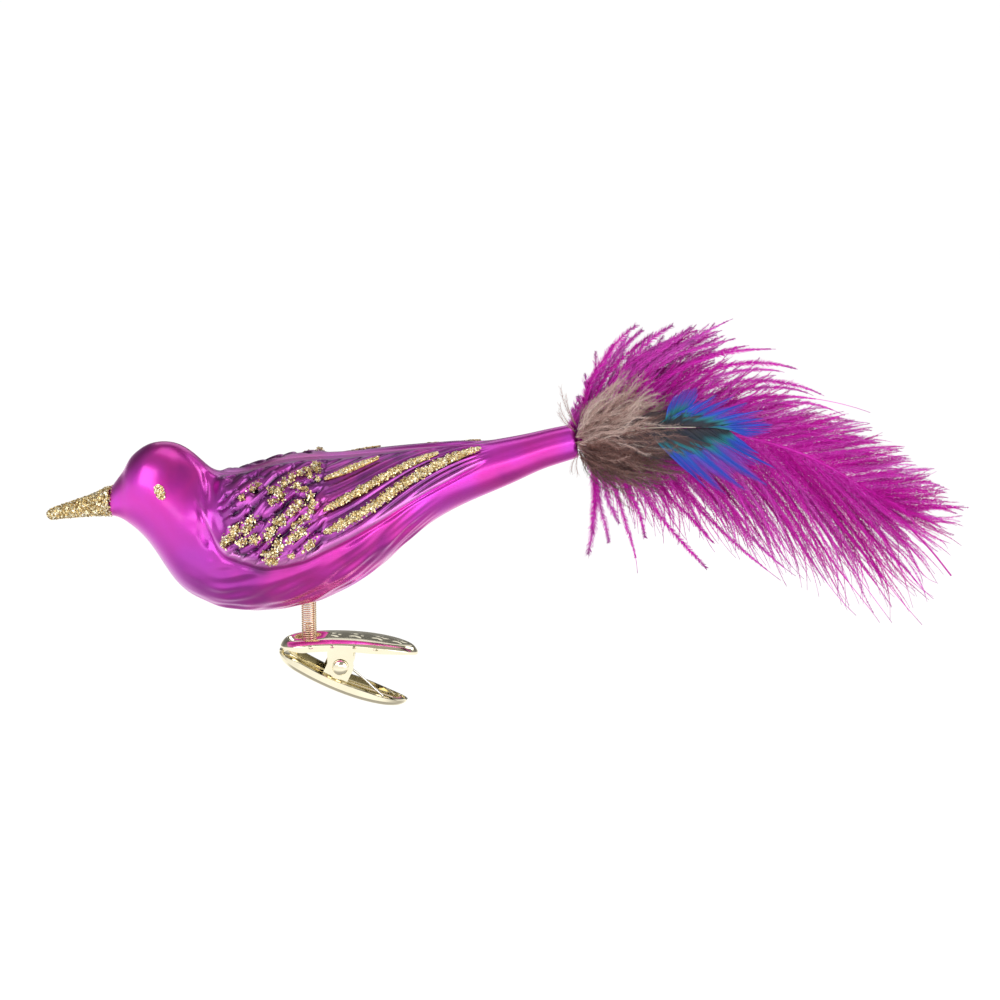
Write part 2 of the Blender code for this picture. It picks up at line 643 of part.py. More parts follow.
for ob, tag in ((upper, "upper"), (lower, "lower")):
    boolean(ob, cutter_cylinder("pin_hole_" + tag, PIN_R + 0.2, 16.0, (PIVOT[0], 0, PIVOT[1]), "Y", 24))
boolean(upper, cutter_cylinder("post_hole", 0.75 + GAP, 4.0, (LEG_X, 0, 1.5), segments=24))

# pin with a domed head outside each ear
HEAD_Y = JAW_HALF + GAP
turned("pivot_rivet", [(0.0, HEAD_Y + 0.95), (0.7, HEAD_Y + 0.83), (1.25, HEAD_Y + 0.5), (1.55, HEAD_Y), (PIN_R, HEAD_Y),
                       (PIN_R, -HEAD_Y), (1.55, -HEAD_Y), (1.25, -HEAD_Y - 0.5), (0.7, -HEAD_Y - 0.83),
                       (0.0, -HEAD_Y - 0.95)], (PIVOT[0], 0, PIVOT[1]), axis="Y", steps=28)


def jaw_spring():
    """Torsion spring round the pin; its legs run back along the two handles and push them apart."""
    wire, coil_r, pitch, per = 0.45, 1.5, 0.62, 10
    turns = 3.5
    n = int(turns * per)
    y0 = -turns * pitch / 2
    px, pz = PIVOT
    start = math.radians(100)           # the upper leg leaves the top of the coil towards the handle
    pts = []
    top_leg = [(px + 8.0, y0, 1.1), (px + 5.5, y0, 0.75), (px + 3.0, y0, 0.1), (px + 1.2, y0, -0.6)]
    for p in top_leg:
        pts.append(p)
    for i in range(n + 1):
        a = start + 2 * math.pi * i / per
        pts.append((px + coil_r * math.cos(a), y0 + pitch * i / per, pz + coil_r * math.sin(a)))
    end_y = y0 + pitch * n / per
    for p in [(px + 1.4, -4.2), (px + 3.8, -6.0), (px + 6.3, -8.4), (px + 8.2, -10.2)]:
        pts.append((p[0], end_y, p[1]))
    ob = as_mesh(curve_object("jaw_spring", pts, wire / 2))
    ob.data.shade_smooth()
    paint(ob, (0.75, 0.72, 0.68), 0.25, 1.0)


jaw_spring()


# ==== tail ======================================================================================
def fine(points, per=2):
    """More points on a smooth line through the given ones."""
    p = np.array(points, float)
    s = np.concatenate([[0], np.cumsum(np.linalg.norm(np.diff(p, axis=0), axis=1))])
    q = np.linspace(0, s[-1], (len(points) - 1) * per + 1)
    return np.stack([monotone(s, p[:, k])(q) for k in range(3)], -1)


def quill(name, points, radius, tip=0.35, colour=PLUME):
    pts = fine(points)
    n = len(pts)
    radii = [1.0 - (1.0 - tip) * i / (n - 1) for i in range(n)]
    ob = as_mesh(curve_object(name, pts, radius, radii, 1))
    ob.data.shade_smooth()
    paint(ob, colour, 0.45)
    return ob


def vane(name, edge, line, side, y, half_t, clear, colour, start=0.0, end=1.0):
    """The vane on one side of a quill: a flat form in XZ, thick at the quill and thin at its edge.
    line is the quill's line, edge the vane's outer edge, both from foot to tip."""
    q = fine(line, 4)
    s = np.linspace(0, 1, len(q))
    keep = (s >= start) & (s <= end)
    q = q[keep]
    n = 12
    pos = np.linspace(0, len(q) - 1, n)
    inner = np.stack([np.interp(pos, np.arange(len(q)), q[:, k]) for k in (0, 2)], -1)
    tangent = np.gradient(inner, axis=0)
    tangent /= np.linalg.norm(tangent, axis=1, keepdims=True)
    normal = np.stack([-tangent[:, 1], tangent[:, 0]], -1) * side
    inner = inner + normal * clear
    e = np.array(edge, float)
    se = np.concatenate([[0], np.cumsum(np.linalg.norm(np.diff(e, axis=0), axis=1))])
    outer = np.stack([monotone(se, e[:, k])(np.linspace(0, se[-1], n)) for k in (0, 1)], -1)
    bm = bmesh.new()
    rings = []
    for i in range(n):
        a, b = inner[i], outer[i]
        fat = half_t * (0.55 + 0.45 * math.sin(math.pi * (i + 0.5) / n))
        prof = [(0.0, -0.5 * fat), (0.35, -fat), (0.75, -0.7 * fat), (1.0, -0.2 * fat), (1.0, 0.2 * fat),
                (0.75, 0.7 * fat), (0.35, fat), (0.0, 0.5 * fat)]
        rings.append(ring_verts(bm, [(a[0] + (b[0] - a[0]) * f, y + h, a[1] + (b[1] - a[1]) * f) for f, h in prof]))
    loft(bm, rings)
    bm.faces.new(rings[0])
    bm.faces.new(rings[-1])
    ob = add_object(name, mesh_from_bmesh(name, bm, 50))
    paint(ob, colour, 0.8)
    return ob


quill("long_plume_quill", LONG_QUILL, 0.5)
vane("long_plume_upper_vane", LONG_UPPER, LONG_QUILL, 1, 0.0, 2.6, 0.95, PLUME, 0.13, 0.97)
vane("long_plume_lower_vane", LONG_LOWER, LONG_QUILL, -1, 0.0, 2.6, 0.95, PLUME, 0.13, 0.97)
quill("short_plume_quill", SHORT_QUILL, 0.45)
vane("short_plume_left_vane", SHORT_LEFT, SHORT_QUILL, 1, 6.0, 2.0, 0.95, PLUME, 0.36, 0.97)
vane("short_plume_right_vane", SHORT_RIGHT, SHORT_QUILL, -1, 6.0, 2.0, 0.95, PLUME, 0.36, 0.97)
quill("accent_quill", ACCENT_QUILL, 0.3, colour=DOWN_GREY)
vane("accent_upper_vane", ACCENT_UPPER, ACCENT_QUILL, 1, -7.0, 0.7, 0.7, ACCENT_BLUE, 0.62, 0.97)
vane("accent_lower_vane", ACCENT_LOWER, ACCENT_QUILL, -1, -7.0, 0.7, 0.7, ACCENT_BLUE, 0.62, 0.97)


def down_tuft():
    """Loose grey down round the foot of the accent feather, behind its quill."""
    bm = bmesh.new()
    bmesh.ops.create_uvsphere(bm, u_segments=20, v_segments=10, radius=1.0)
    bmesh.ops.scale(bm, verts=bm.verts[:], vec=(8.0, 1.35, 7.4))
    bmesh.ops.translate(bm, verts=bm.verts[:], vec=(68.3, -4.75, 43.6))
    bmesh.ops.scale(bm, verts=bm.verts[:], vec=(MM, MM, MM))
    ob = add_object("accent_down", mesh_from_bmesh("accent_down", bm))
    paint(ob, DOWN_GREY, 0.9)


down_tuft()


def tail_glue_plug():
    """A collar of glue between the bundled quills and the inside of the tail tube."""
    def mid(x):
        return (float(TOP(x)) + float(BOTTOM(x))) / 2
    bm = bmesh.new()
    n = 28
    rings = []
    for x, r in ((52.0, 2.15), (55.6, 1.98), (55.6, 1.60), (52.0, 1.60)):
        slope = (mid(x + 1) - mid(x - 1)) / 2
        lean = math.atan(slope)
        pts = []
        for i in range(n):
            a = 2 * math.pi * i / n
            up, across = r * math.cos(a), r * math.sin(a)
            pts.append((x - up * math.sin(lean), across, mid(x) + up * math.cos(lean)))
        rings.append(ring_verts(bm, pts))
    loft(bm, rings)
    loft(bm, [rings[-1], rings[0]])
    ob = add_object("tail_glue_plug", mesh_from_bmesh("tail_glue_plug", bm))
    paint(ob, GLUE, 0.4)


tail_glue_plug()
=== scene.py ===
"""Looks of the clip-on glass bird: lacquered blown glass, glitter, spring leg, pressed tin clip and dyed feathers.

Frame: metres, +Z up, +X towards the tail, Y across, origin between the jaws' noses. Sizes here are in mm, scaled by MM.
"""
import math

import bmesh
import bpy
import numpy as np
from mathutils import Matrix, Vector


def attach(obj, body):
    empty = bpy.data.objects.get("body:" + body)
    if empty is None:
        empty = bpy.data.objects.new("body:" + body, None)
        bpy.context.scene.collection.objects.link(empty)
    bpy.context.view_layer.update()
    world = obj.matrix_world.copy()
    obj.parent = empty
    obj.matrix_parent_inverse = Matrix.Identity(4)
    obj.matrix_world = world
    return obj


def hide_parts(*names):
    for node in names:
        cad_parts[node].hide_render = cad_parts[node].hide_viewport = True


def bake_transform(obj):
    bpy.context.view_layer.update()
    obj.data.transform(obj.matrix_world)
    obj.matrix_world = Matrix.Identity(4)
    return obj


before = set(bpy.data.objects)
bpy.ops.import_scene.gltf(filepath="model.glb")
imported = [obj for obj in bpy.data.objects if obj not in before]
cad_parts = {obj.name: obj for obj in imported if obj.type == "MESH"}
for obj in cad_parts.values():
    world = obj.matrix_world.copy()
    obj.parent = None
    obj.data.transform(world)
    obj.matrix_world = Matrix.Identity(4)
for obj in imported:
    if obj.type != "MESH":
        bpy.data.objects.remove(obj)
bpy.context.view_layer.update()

MM = 0.001
scene = bpy.context.scene

# ==== camera, lights, surroundings =============================================================
cam_data = bpy.data.cameras.new("camera")
cam_data.lens = 120
cam_data.sensor_width = 36
cam_data.clip_start = 0.01
cam_data.clip_end = 100
cam = bpy.data.objects.new("camera", cam_data)
cam.location = (0.042558, -0.63334, 0.176246)
look = Vector((0.042558, 0.0, 0.030028)) - Vector(cam.location)
cam.rotation_euler = look.to_track_quat("-Z", "Y").to_euler()
scene.collection.objects.link(cam)
scene.camera = cam
scene.view_settings.view_transform = "Standard"
scene.view_settings.look = "None"
scene.view_settings.exposure = 0.0
scene.view_settings.gamma = 1.0


def area(name, at, to, size, power, colour=(1, 1, 1)):
    data = bpy.data.lights.new(name, "AREA")
    data.shape = "RECTANGLE"
    data.size, data.size_y = size
    data.energy = power
    data.color = colour
    ob = bpy.data.objects.new(name, data)
    ob.location = at
    ob.rotation_euler = (Vector(to) - Vector(at)).to_track_quat("-Z", "Y").to_euler()
    scene.collection.objects.link(ob)
    return ob


area("key_softbox", (-0.45, -0.62, 0.50), (0.02, 0, 0.03), (0.66, 0.60), 2.7)
area("front_strip", (0.16, -0.95, 0.16), (0.04, 0, 0.03), (0.9, 0.16), 0.7)
area("right_softbox", (0.66, -0.58, 0.22), (0.04, 0, 0.03), (0.60, 0.60), 2.9)
area("neck_softbox", (0.55, 0.35, 0.45), (0.0, 0, 0.03), (0.30, 0.30), 0.7)
area("back_softbox", (0.1, 0.8, 0.55), (0.04, 0, 0.03), (0.7, 0.40), 0.7)
area("top_softbox", (0.10, 0.10, 0.85), (0.04, 0, 0.03), (0.6, 0.35), 0.7)

world = bpy.data.worlds.new("studio")
scene.world = world
world.use_nodes = True
wn = world.node_tree
wn.nodes.clear()
w_out = wn.nodes.new("ShaderNodeOutputWorld")
w_bg = wn.nodes.new("ShaderNodeBackground")
w_tc = wn.nodes.new("ShaderNodeTexCoord")
w_sep = wn.nodes.new("ShaderNodeSeparateXYZ")
w_ramp = wn.nodes.new("ShaderNodeValToRGB")
w_ramp.color_ramp.interpolation = "EASE"
els = w_ramp.color_ramp.elements
els[0].position, els[0].color = 0.0, (1, 1, 1, 1)
els[1].position, els[1].color = 0.95, (0.42, 0.40, 0.37, 1)
for pos, v in ((0.11, 1.0), (0.24, 0.55), (0.55, 0.30)):
    e = els.new(pos)
    e.color = (v, v, v, 1)
wn.links.new(w_tc.outputs["Generated"], w_sep.inputs[0])
wn.links.new(w_sep.outputs["Z"], w_ramp.inputs[0])
# the room behind the bird is dim above the horizon
w_back = wn.nodes.new("ShaderNodeMapRange")
w_back.inputs["From Min"].default_value = 0.0
w_back.inputs["From Max"].default_value = 0.6
w_back.inputs["To Min"].default_value = 1.0
w_back.inputs["To Max"].default_value = 0.30
wn.links.new(w_sep.outputs["Y"], w_back.inputs["Value"])
w_dim = wn.nodes.new("ShaderNodeVectorMath")
w_dim.operation = "SCALE"
wn.links.new(w_ramp.outputs[0], w_dim.inputs[0])
wn.links.new(w_back.outputs["Result"], w_dim.inputs["Scale"])
wn.links.new(w_dim.outputs[0], w_bg.inputs[0])
wn.links.new(w_bg.outputs[0], w_out.inputs[0])
w_bg.inputs[1].default_value = 1.0

# ==== helpers ==================================================================================


def new_material(name, **values):
    mat = bpy.data.materials.new(name)
    mat.use_nodes = True
    bsdf = mat.node_tree.nodes["Principled BSDF"]
    for key, value in values.items():
        sock = bsdf.inputs[key.replace("_", " ")]
        sock.default_value = (*value, 1.0) if isinstance(value, tuple) and len(value) == 3 else value
    return mat, mat.node_tree, bsdf


def nd(nt, kind, **props):
    n = nt.nodes.new(kind)
    for k, v in props.items():
        setattr(n, k, v)
    return n


def coords(nt):
    return nd(nt, "ShaderNodeTexCoord").outputs["Object"]


def noise(nt, scale, detail=3.0, rough=0.5, vec=None):
    n = nd(nt, "ShaderNodeTexNoise")
    n.inputs["Scale"].default_value = scale
    n.inputs["Detail"].default_value = detail
    n.inputs["Roughness"].default_value = rough
    nt.links.new(vec if vec is not None else coords(nt), n.inputs["Vector"])
    return n


def ramp(nt, fac, stops, interp="LINEAR"):
    r = nd(nt, "ShaderNodeValToRGB")
    r.color_ramp.interpolation = interp
    el = r.color_ramp.elements
    el[0].position, el[0].color = stops[0][0], (*stops[0][1], 1)
    el[1].position, el[1].color = stops[-1][0], (*stops[-1][1], 1)
    for p, c in stops[1:-1]:
        e = el.new(p)
        e.color = (*c, 1)
    nt.links.new(fac, r.inputs[0])
    return r.outputs["Color"]


def remap(nt, val, lo, hi, a=0.0, b=1.0):
    m = nd(nt, "ShaderNodeMapRange")
    m.inputs["From Min"].default_value = a
    m.inputs["From Max"].default_value = b
    m.inputs["To Min"].default_value = lo
    m.inputs["To Max"].default_value = hi
    nt.links.new(val, m.inputs["Value"])
    return m.outputs["Result"]


def mix_colour(nt, fac, a, b, blend="MIX"):
    m = nd(nt, "ShaderNodeMix", data_type="RGBA", blend_type=blend)
    ins = [s for s in m.inputs if s.enabled]
    for sock, v in zip((ins[0], ins[1], ins[2]), (fac, a, b)):
        if isinstance(v, bpy.types.NodeSocket):
            nt.links.new(v, sock)
        elif isinstance(v, tuple):
            sock.default_value = (*v, 1)
        else:
            sock.default_value = v
    return [s for s in m.outputs if s.enabled][0]


def bump(nt, bsdf, height, strength, distance):
    b = nd(nt, "ShaderNodeBump")
    b.inputs["Strength"].default_value = strength
    b.inputs["Distance"].default_value = distance
    nt.links.new(height, b.inputs["Height"])
    nt.links.new(b.outputs[0], bsdf.inputs["Normal"])


def attr(nt, name):
    return nd(nt, "ShaderNodeAttribute", attribute_name=name).outputs["Fac"]


def build_mesh(name, verts, faces, smooth=True):
    """verts (n, 3) in mm; faces is a list of int arrays, each (m, k)."""
    me = bpy.data.meshes.new(name)
    verts = np.asarray(verts, np.float64) * MM
    me.vertices.add(len(verts))
    me.vertices.foreach_set("co", verts.astype(np.float32).ravel())
    faces = [np.asarray(f, np.int32) for f in faces if len(f)]
    loops = np.concatenate([f.ravel() for f in faces])
    totals = np.concatenate([np.full(len(f), f.shape[1], np.int32) for f in faces])
    starts = np.concatenate([[0], np.cumsum(totals)[:-1]]).astype(np.int32)
    me.loops.add(len(loops))
    me.loops.foreach_set("vertex_index", loops.astype(np.int32))
    me.polygons.add(len(totals))
    me.polygons.foreach_set("loop_start", starts)
    me.update(calc_edges=True)
    me.validate()
    if smooth:
        me.shade_smooth()
    else:
        me.shade_flat()
    return me


def add_piece(name, mesh, mat, body=None, replaces=()):
    ob = bpy.data.objects.new(name, mesh)
    scene.collection.objects.link(ob)
    if mat is not None:
        mesh.materials.clear()
        mesh.materials.append(mat)
    if body:
        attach(ob, body)
    if replaces:
        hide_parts(*replaces)
    return ob


def float_attribute(me, name, values):
    a = me.attributes.new(name, "FLOAT", "POINT")
    a.data.foreach_set("value", np.asarray(values, np.float32))


def tint_uvs(me, u, v, spread=0.006):
    """A UV map where a face lies at the (u, v) of its tint, so that pieces of one tint share one small patch."""
    layer = me.uv_layers.new(name="OFBake")
    n = len(me.loops)
    idx = np.zeros(n, np.int32)
    me.loops.foreach_get("vertex_index", idx)
    tot = np.zeros(len(me.polygons), np.int32)
    me.polygons.foreach_get("loop_total", tot)
    start = np.concatenate([[0], np.cumsum(tot)[:-1]])
    face = np.repeat(np.arange(len(tot)), tot)
    corner = np.arange(n) - start[face]
    ang = corner * 2 * math.pi / tot[face]
    uu = 0.01 + 0.98 * np.clip(u[idx], 0, 1) + spread * np.cos(ang)
    vv = 0.01 + 0.98 * np.clip(v[idx], 0, 1) + spread * np.sin(ang)
    layer.data.foreach_set("uv", np.stack([uu, vv], 1).astype(np.float32).ravel())


def monotone(xs, ys):
    x, y = np.array(xs, float), np.array(ys, float)
    h = np.diff(x)
    d = np.diff(y) / h
    m = np.zeros(len(x))
    for i in range(1, len(x) - 1):
        if d[i - 1] * d[i] > 0:
            w1, w2 = 2 * h[i] + h[i - 1], h[i] + 2 * h[i - 1]
            m[i] = (w1 + w2) / (w1 / d[i - 1] + w2 / d[i])
    m[0], m[-1] = d[0], d[-1]

    def f(q):
        q = np.clip(np.asarray(q, float), x[0], x[-1])
        i = np.clip(np.searchsorted(x, q) - 1, 0, len(h) - 1)
        s = (q - x[i]) / h[i]
        return (y[i] * (1 + 2 * s) * (1 - s) ** 2 + h[i] * m[i] * s * (1 - s) ** 2
                + y[i + 1] * s * s * (3 - 2 * s) + h[i] * m[i + 1] * s * s * (s - 1))
    return f


def smoothstep(a, b, v):
    s = np.clip((np.asarray(v, float) - a) / (b - a), 0.0, 1.0)
    return s * s * (3 - 2 * s)


def grid_faces(rows, cols, wrap=True, base=0):
    i = np.arange(rows - 1)[:, None]
    j = np.arange(cols if wrap else cols - 1)[None, :]
    k = (j + 1) % cols
    return base + np.stack([i * cols + j, i * cols + k, (i + 1) * cols + k, (i + 1) * cols + j], -1).reshape(-1, 4)


def line_points(points, n):
    """n points evenly along a smooth line through the given ones."""
    p = np.array(points, float)
    s = np.concatenate([[0], np.cumsum(np.linalg.norm(np.diff(p, axis=0), axis=1))])
    q = np.linspace(0, s[-1], n)
    return np.stack([monotone(s, p[:, k])(q) for k in range(p.shape[1])], -1)


def tube_frames(path):
    t = np.gradient(path, axis=0)
    t /= np.linalg.norm(t, axis=1, keepdims=True) + 1e-12
    ref = np.array([0.0, 1.0, 0.0]) if abs(t[:, 1]).max() < 0.9 else np.array([0.0, 0.0, 1.0])
    a = np.cross(t, ref)
    a /= np.linalg.norm(a, axis=1, keepdims=True) + 1e-12
    b = np.cross(t, a)
    return t, a, b


def tube(path, radii, sides):
    """Closed tube along a path: vertices, quads and end caps as triangles."""
    path = np.asarray(path, float)
    radii = np.broadcast_to(np.asarray(radii, float), (len(path),))
    t, a, b = tube_frames(path)
    ang = np.arange(sides) * 2 * math.pi / sides
    ring = (path[:, None, :] + radii[:, None, None]
            * (a[:, None, :] * np.cos(ang)[None, :, None] + b[:, None, :] * np.sin(ang)[None, :, None]))
    verts = ring.reshape(-1, 3)
    quads = grid_faces(len(path), sides)
    verts = np.vstack([verts, path[:1], path[-1:]])
    n = len(path) * sides
    j = np.arange(sides)
    k = (j + 1) % sides
    cap0 = np.stack([k, j, np.full(sides, n)], -1)
    last = (len(path) - 1) * sides
    cap1 = np.stack([last + j, last + k, np.full(sides, n + 1)], -1)
    return verts, quads[:, ::-1], np.vstack([cap0, cap1])[:, ::-1]


class Soup:
    """Gathers many small closed forms into one mesh, with two tints for each point."""

    def __init__(self):
        self.v, self.q, self.t, self.a, self.b, self.n = [], [], [], [], [], 0

    def add(self, verts, quads=None, tris=None, a=0.0, b=0.0):
        m = len(verts)
        self.v.append(verts)
        if quads is not None and len(quads):
            self.q.append(quads + self.n)
        if tris is not None and len(tris):
            self.t.append(tris + self.n)
        self.a.append(np.broadcast_to(np.asarray(a, float), (m,)))
        self.b.append(np.broadcast_to(np.asarray(b, float), (m,)))
        self.n += m

    def mesh(self, name, smooth=True):
        faces = []
        if self.q:
            faces.append(np.vstack(self.q))
        if self.t:
            faces.append(np.vstack(self.t))
        me = build_mesh(name, np.vstack(self.v), faces, smooth)
        a, b = np.concatenate(self.a), np.concatenate(self.b)
        float_attribute(me, "along", a)
        float_attribute(me, "tone", b)
        tint_uvs(me, a, b)
        return me


# ==== the bird's surface =======================================================================
BIRD = [
    (-45.0, 27.6, 26.8, 0.4, 0.4), (-43.3, 28.1, 27.2, 0.5, 0.5), (-40.0, 29.3, 27.5, 0.9, 0.9),
    (-37.0, 30.3, 27.8, 1.3, 1.3), (-34.2, 31.5, 28.0, 1.8, 1.8), (-33.2, 32.6, 27.1, 2.8, 2.8),
    (-32.0, 34.2, 26.8, 3.8, 3.8), (-30.7, 36.0, 26.2, 4.8, 4.7), (-29.2, 38.8, 25.1, 6.2, 5.8),
    (-27.0, 40.6, 23.3, 7.4, 7.0), (-24.5, 41.6, 20.0, 8.1, 7.9), (-21.5, 41.7, 14.8, 8.3, 9.2),
    (-18.5, 40.6, 11.8, 7.9, 10.6), (-15.5, 38.1, 10.2, 7.9, 12.0), (-12.5, 35.3, 9.2, 9.6, 13.0),
    (-9.0, 35.4, 8.5, 11.2, 13.9), (-5.0, 36.4, 8.3, 12.4, 14.8), (0.0, 37.8, 8.7, 13.4, 15.3),
    (5.0, 38.4, 9.7, 13.6, 15.4), (10.0, 38.6, 11.6, 13.2, 15.0), (15.0, 39.0, 14.2, 12.2, 13.8),
    (20.0, 39.6, 17.9, 10.8, 11.9), (25.0, 40.1, 22.4, 9.2, 9.7), (30.0, 40.5, 26.4, 7.5, 7.7),
    (35.0, 41.0, 29.2, 6.1, 6.1), (41.0, 41.9, 31.8, 4.9, 4.9), (46.0, 42.8, 34.0, 4.2, 4.2),
    (51.0, 43.9, 36.4, 3.55, 3.55), (57.2, 45.1, 38.6, 3.1, 3.1),
]
WALL = 0.8
TUBE_END_LEAN = 0.18
WING_EDGE = [(-15.0, 62), (-11.6, 86), (-6.3, 95), (-1.5, 101), (4.3, 100), (10.0, 95), (16.7, 91),
             (23.4, 88), (30.0, 84), (36.8, 72), (41.0, 60)]
WING_PROUD = 0.7
TABLE = np.array(BIRD)


def rounded(f):
    """Evens out a profile's curvature from the forehead back; the beak's flare stays as it is."""
    def g(q):
        q = np.asarray(q, float)
        reach = 2.3 * smoothstep(-31.5, -27.0, q) * (1 - smoothstep(48.0, 54.0, q))
        return sum(w * f(q + o * reach) for o, w in ((-1.0, 0.1), (-0.6, 0.2), (0.0, 0.4), (0.6, 0.2), (1.0, 0.1)))
    return g


TOP, BOTTOM, UPPER_W, LOWER_W = (rounded(monotone(TABLE[:, 0], TABLE[:, k])) for k in (1, 2, 3, 4))
EDGE = monotone([p[0] for p in WING_EDGE], [p[1] for p in WING_EDGE])


def folded(t):
    return np.degrees(np.abs((np.asarray(t, float) + math.pi) % (2 * math.pi) - math.pi))


def wing_pad(x, t, soft=1.0):
    tau = folded(t)
    span = smoothstep(-15.0, -8.0, x) * (1 - smoothstep(33.0, 42.0, x))
    return span * (1 - smoothstep(EDGE(x) - 7 * soft, EDGE(x) + 5 * soft, tau)) * smoothstep(4.0, 16.0, tau)


def smooth_skin(x, t):
    x, t = np.asarray(x, float), np.asarray(t, float)
    a, zc = (TOP(x) - BOTTOM(x)) / 2, (TOP(x) + BOTTOM(x)) / 2
    w = LOWER_W(x) + (UPPER_W(x) - LOWER_W(x)) * (0.5 + 0.5 * np.cos(t))
    lean = TUBE_END_LEAN * smoothstep(48.0, 57.2, x)
    dz = a * np.cos(t)
    return np.stack([x - lean * dz, w * np.sin(t), zc + dz], -1)


def skin_normal(x, t):
    e = 0.02
    du = smooth_skin(x + e, t) - smooth_skin(x - e, t)
    dv = smooth_skin(x, t + e) - smooth_skin(x, t - e)
    n = np.cross(dv, du)
    n /= np.linalg.norm(n, axis=-1, keepdims=True) + 1e-12
    radial = smooth_skin(x, t) - np.stack([x, 0 * x, (TOP(x) + BOTTOM(x)) / 2], -1)
    return n * np.where(np.sum(n * radial, -1, keepdims=True) < 0, -1.0, 1.0)


def waves(p, q, seed, length, count=7):
    """Smooth wandering field over two coordinates, about -1..1."""
    r = np.random.default_rng(seed)
    out = 0
    for _ in range(count):
        ang, ph = r.uniform(0, 2 * math.pi), r.uniform(0, 2 * math.pi)
        k = 2 * math.pi / (length * r.uniform(0.7, 1.5))
        out = out + np.sin(k * (p * math.cos(ang) + q * math.sin(ang)) + ph)
    return out / math.sqrt(count) / 1.3


def feather_root(x, tau):
    """The angle, at the shoulder, of the flight feather line that passes through (x, tau)."""
    t0 = np.linspace(22.5, 118, 240)
    out = np.full(np.shape(tau), 22.0)
    xs = x[:, 0]
    for i, xv in enumerate(xs):
        if xv < 5.0 or xv > 44.0:
            continue
        length = 12.5 + 0.53 * (t0 - 42)
        u = np.clip((xv - 8.7) / length, 0, 1)
        line = 14 + (t0 - 14) * (1 - 0.86 * u ** 1.3)
        order = np.argsort(line)
        out[i] = np.interp(tau[i], line[order], t0[order], left=14, right=125)
    return out


LOBE_TILT = math.radians(36)


def lobes(x, tau):
    """Overlapping scale feathers on the shoulder: raised, blunt, pointing back and up. Returns height and gap."""
    a, b = x, 14.0 * np.radians(tau)
    p = a * math.cos(LOBE_TILT) - b * math.sin(LOBE_TILT)
    q = a * math.sin(LOBE_TILT) + b * math.cos(LOBE_TILT)
    cp, cq = 4.6, 2.05
    r = np.random.default_rng(41)
    jit = r.uniform(-1, 1, (64, 64, 5))
    best = np.full(np.shape(p), -0.55)
    row0 = np.floor(q / cq).astype(int)
    for dr in (-2, -1, 0, 1, 2):
        row = row0 + dr
        shift = 0.5 * (row % 2)
        col0 = np.floor(p / cp - shift).astype(int)
        for dc in (-1, 0, 1):
            col = col0 + dc
            j = jit[row % 64, col % 64]
            pc = (col + 0.5 + shift) * cp + j[..., 0] * 0.9
            qc = (row + 0.5) * cq + j[..., 1] * 0.45
            turn = j[..., 2] * 0.30
            dp, dq = p - pc, q - qc
            u = dp * np.cos(turn) + dq * np.sin(turn)
            v = -dp * np.sin(turn) + dq * np.cos(turn)
            v = v - 0.035 * u * u * j[..., 3]
            hl, hw = 2.75 + 0.6 * j[..., 4], 0.98 + 0.22 * j[..., 3]
            f = 1 - (u / hl) ** 4 - (v / hw) ** 2
            h = np.sqrt(np.clip(f, 0, 1)) * (0.85 + 0.14 * u + 0.12 * j[..., 2]) - 0.55 * (f <= 0)
            best = np.maximum(best, np.where(f > 0, h, -0.55))
    return best


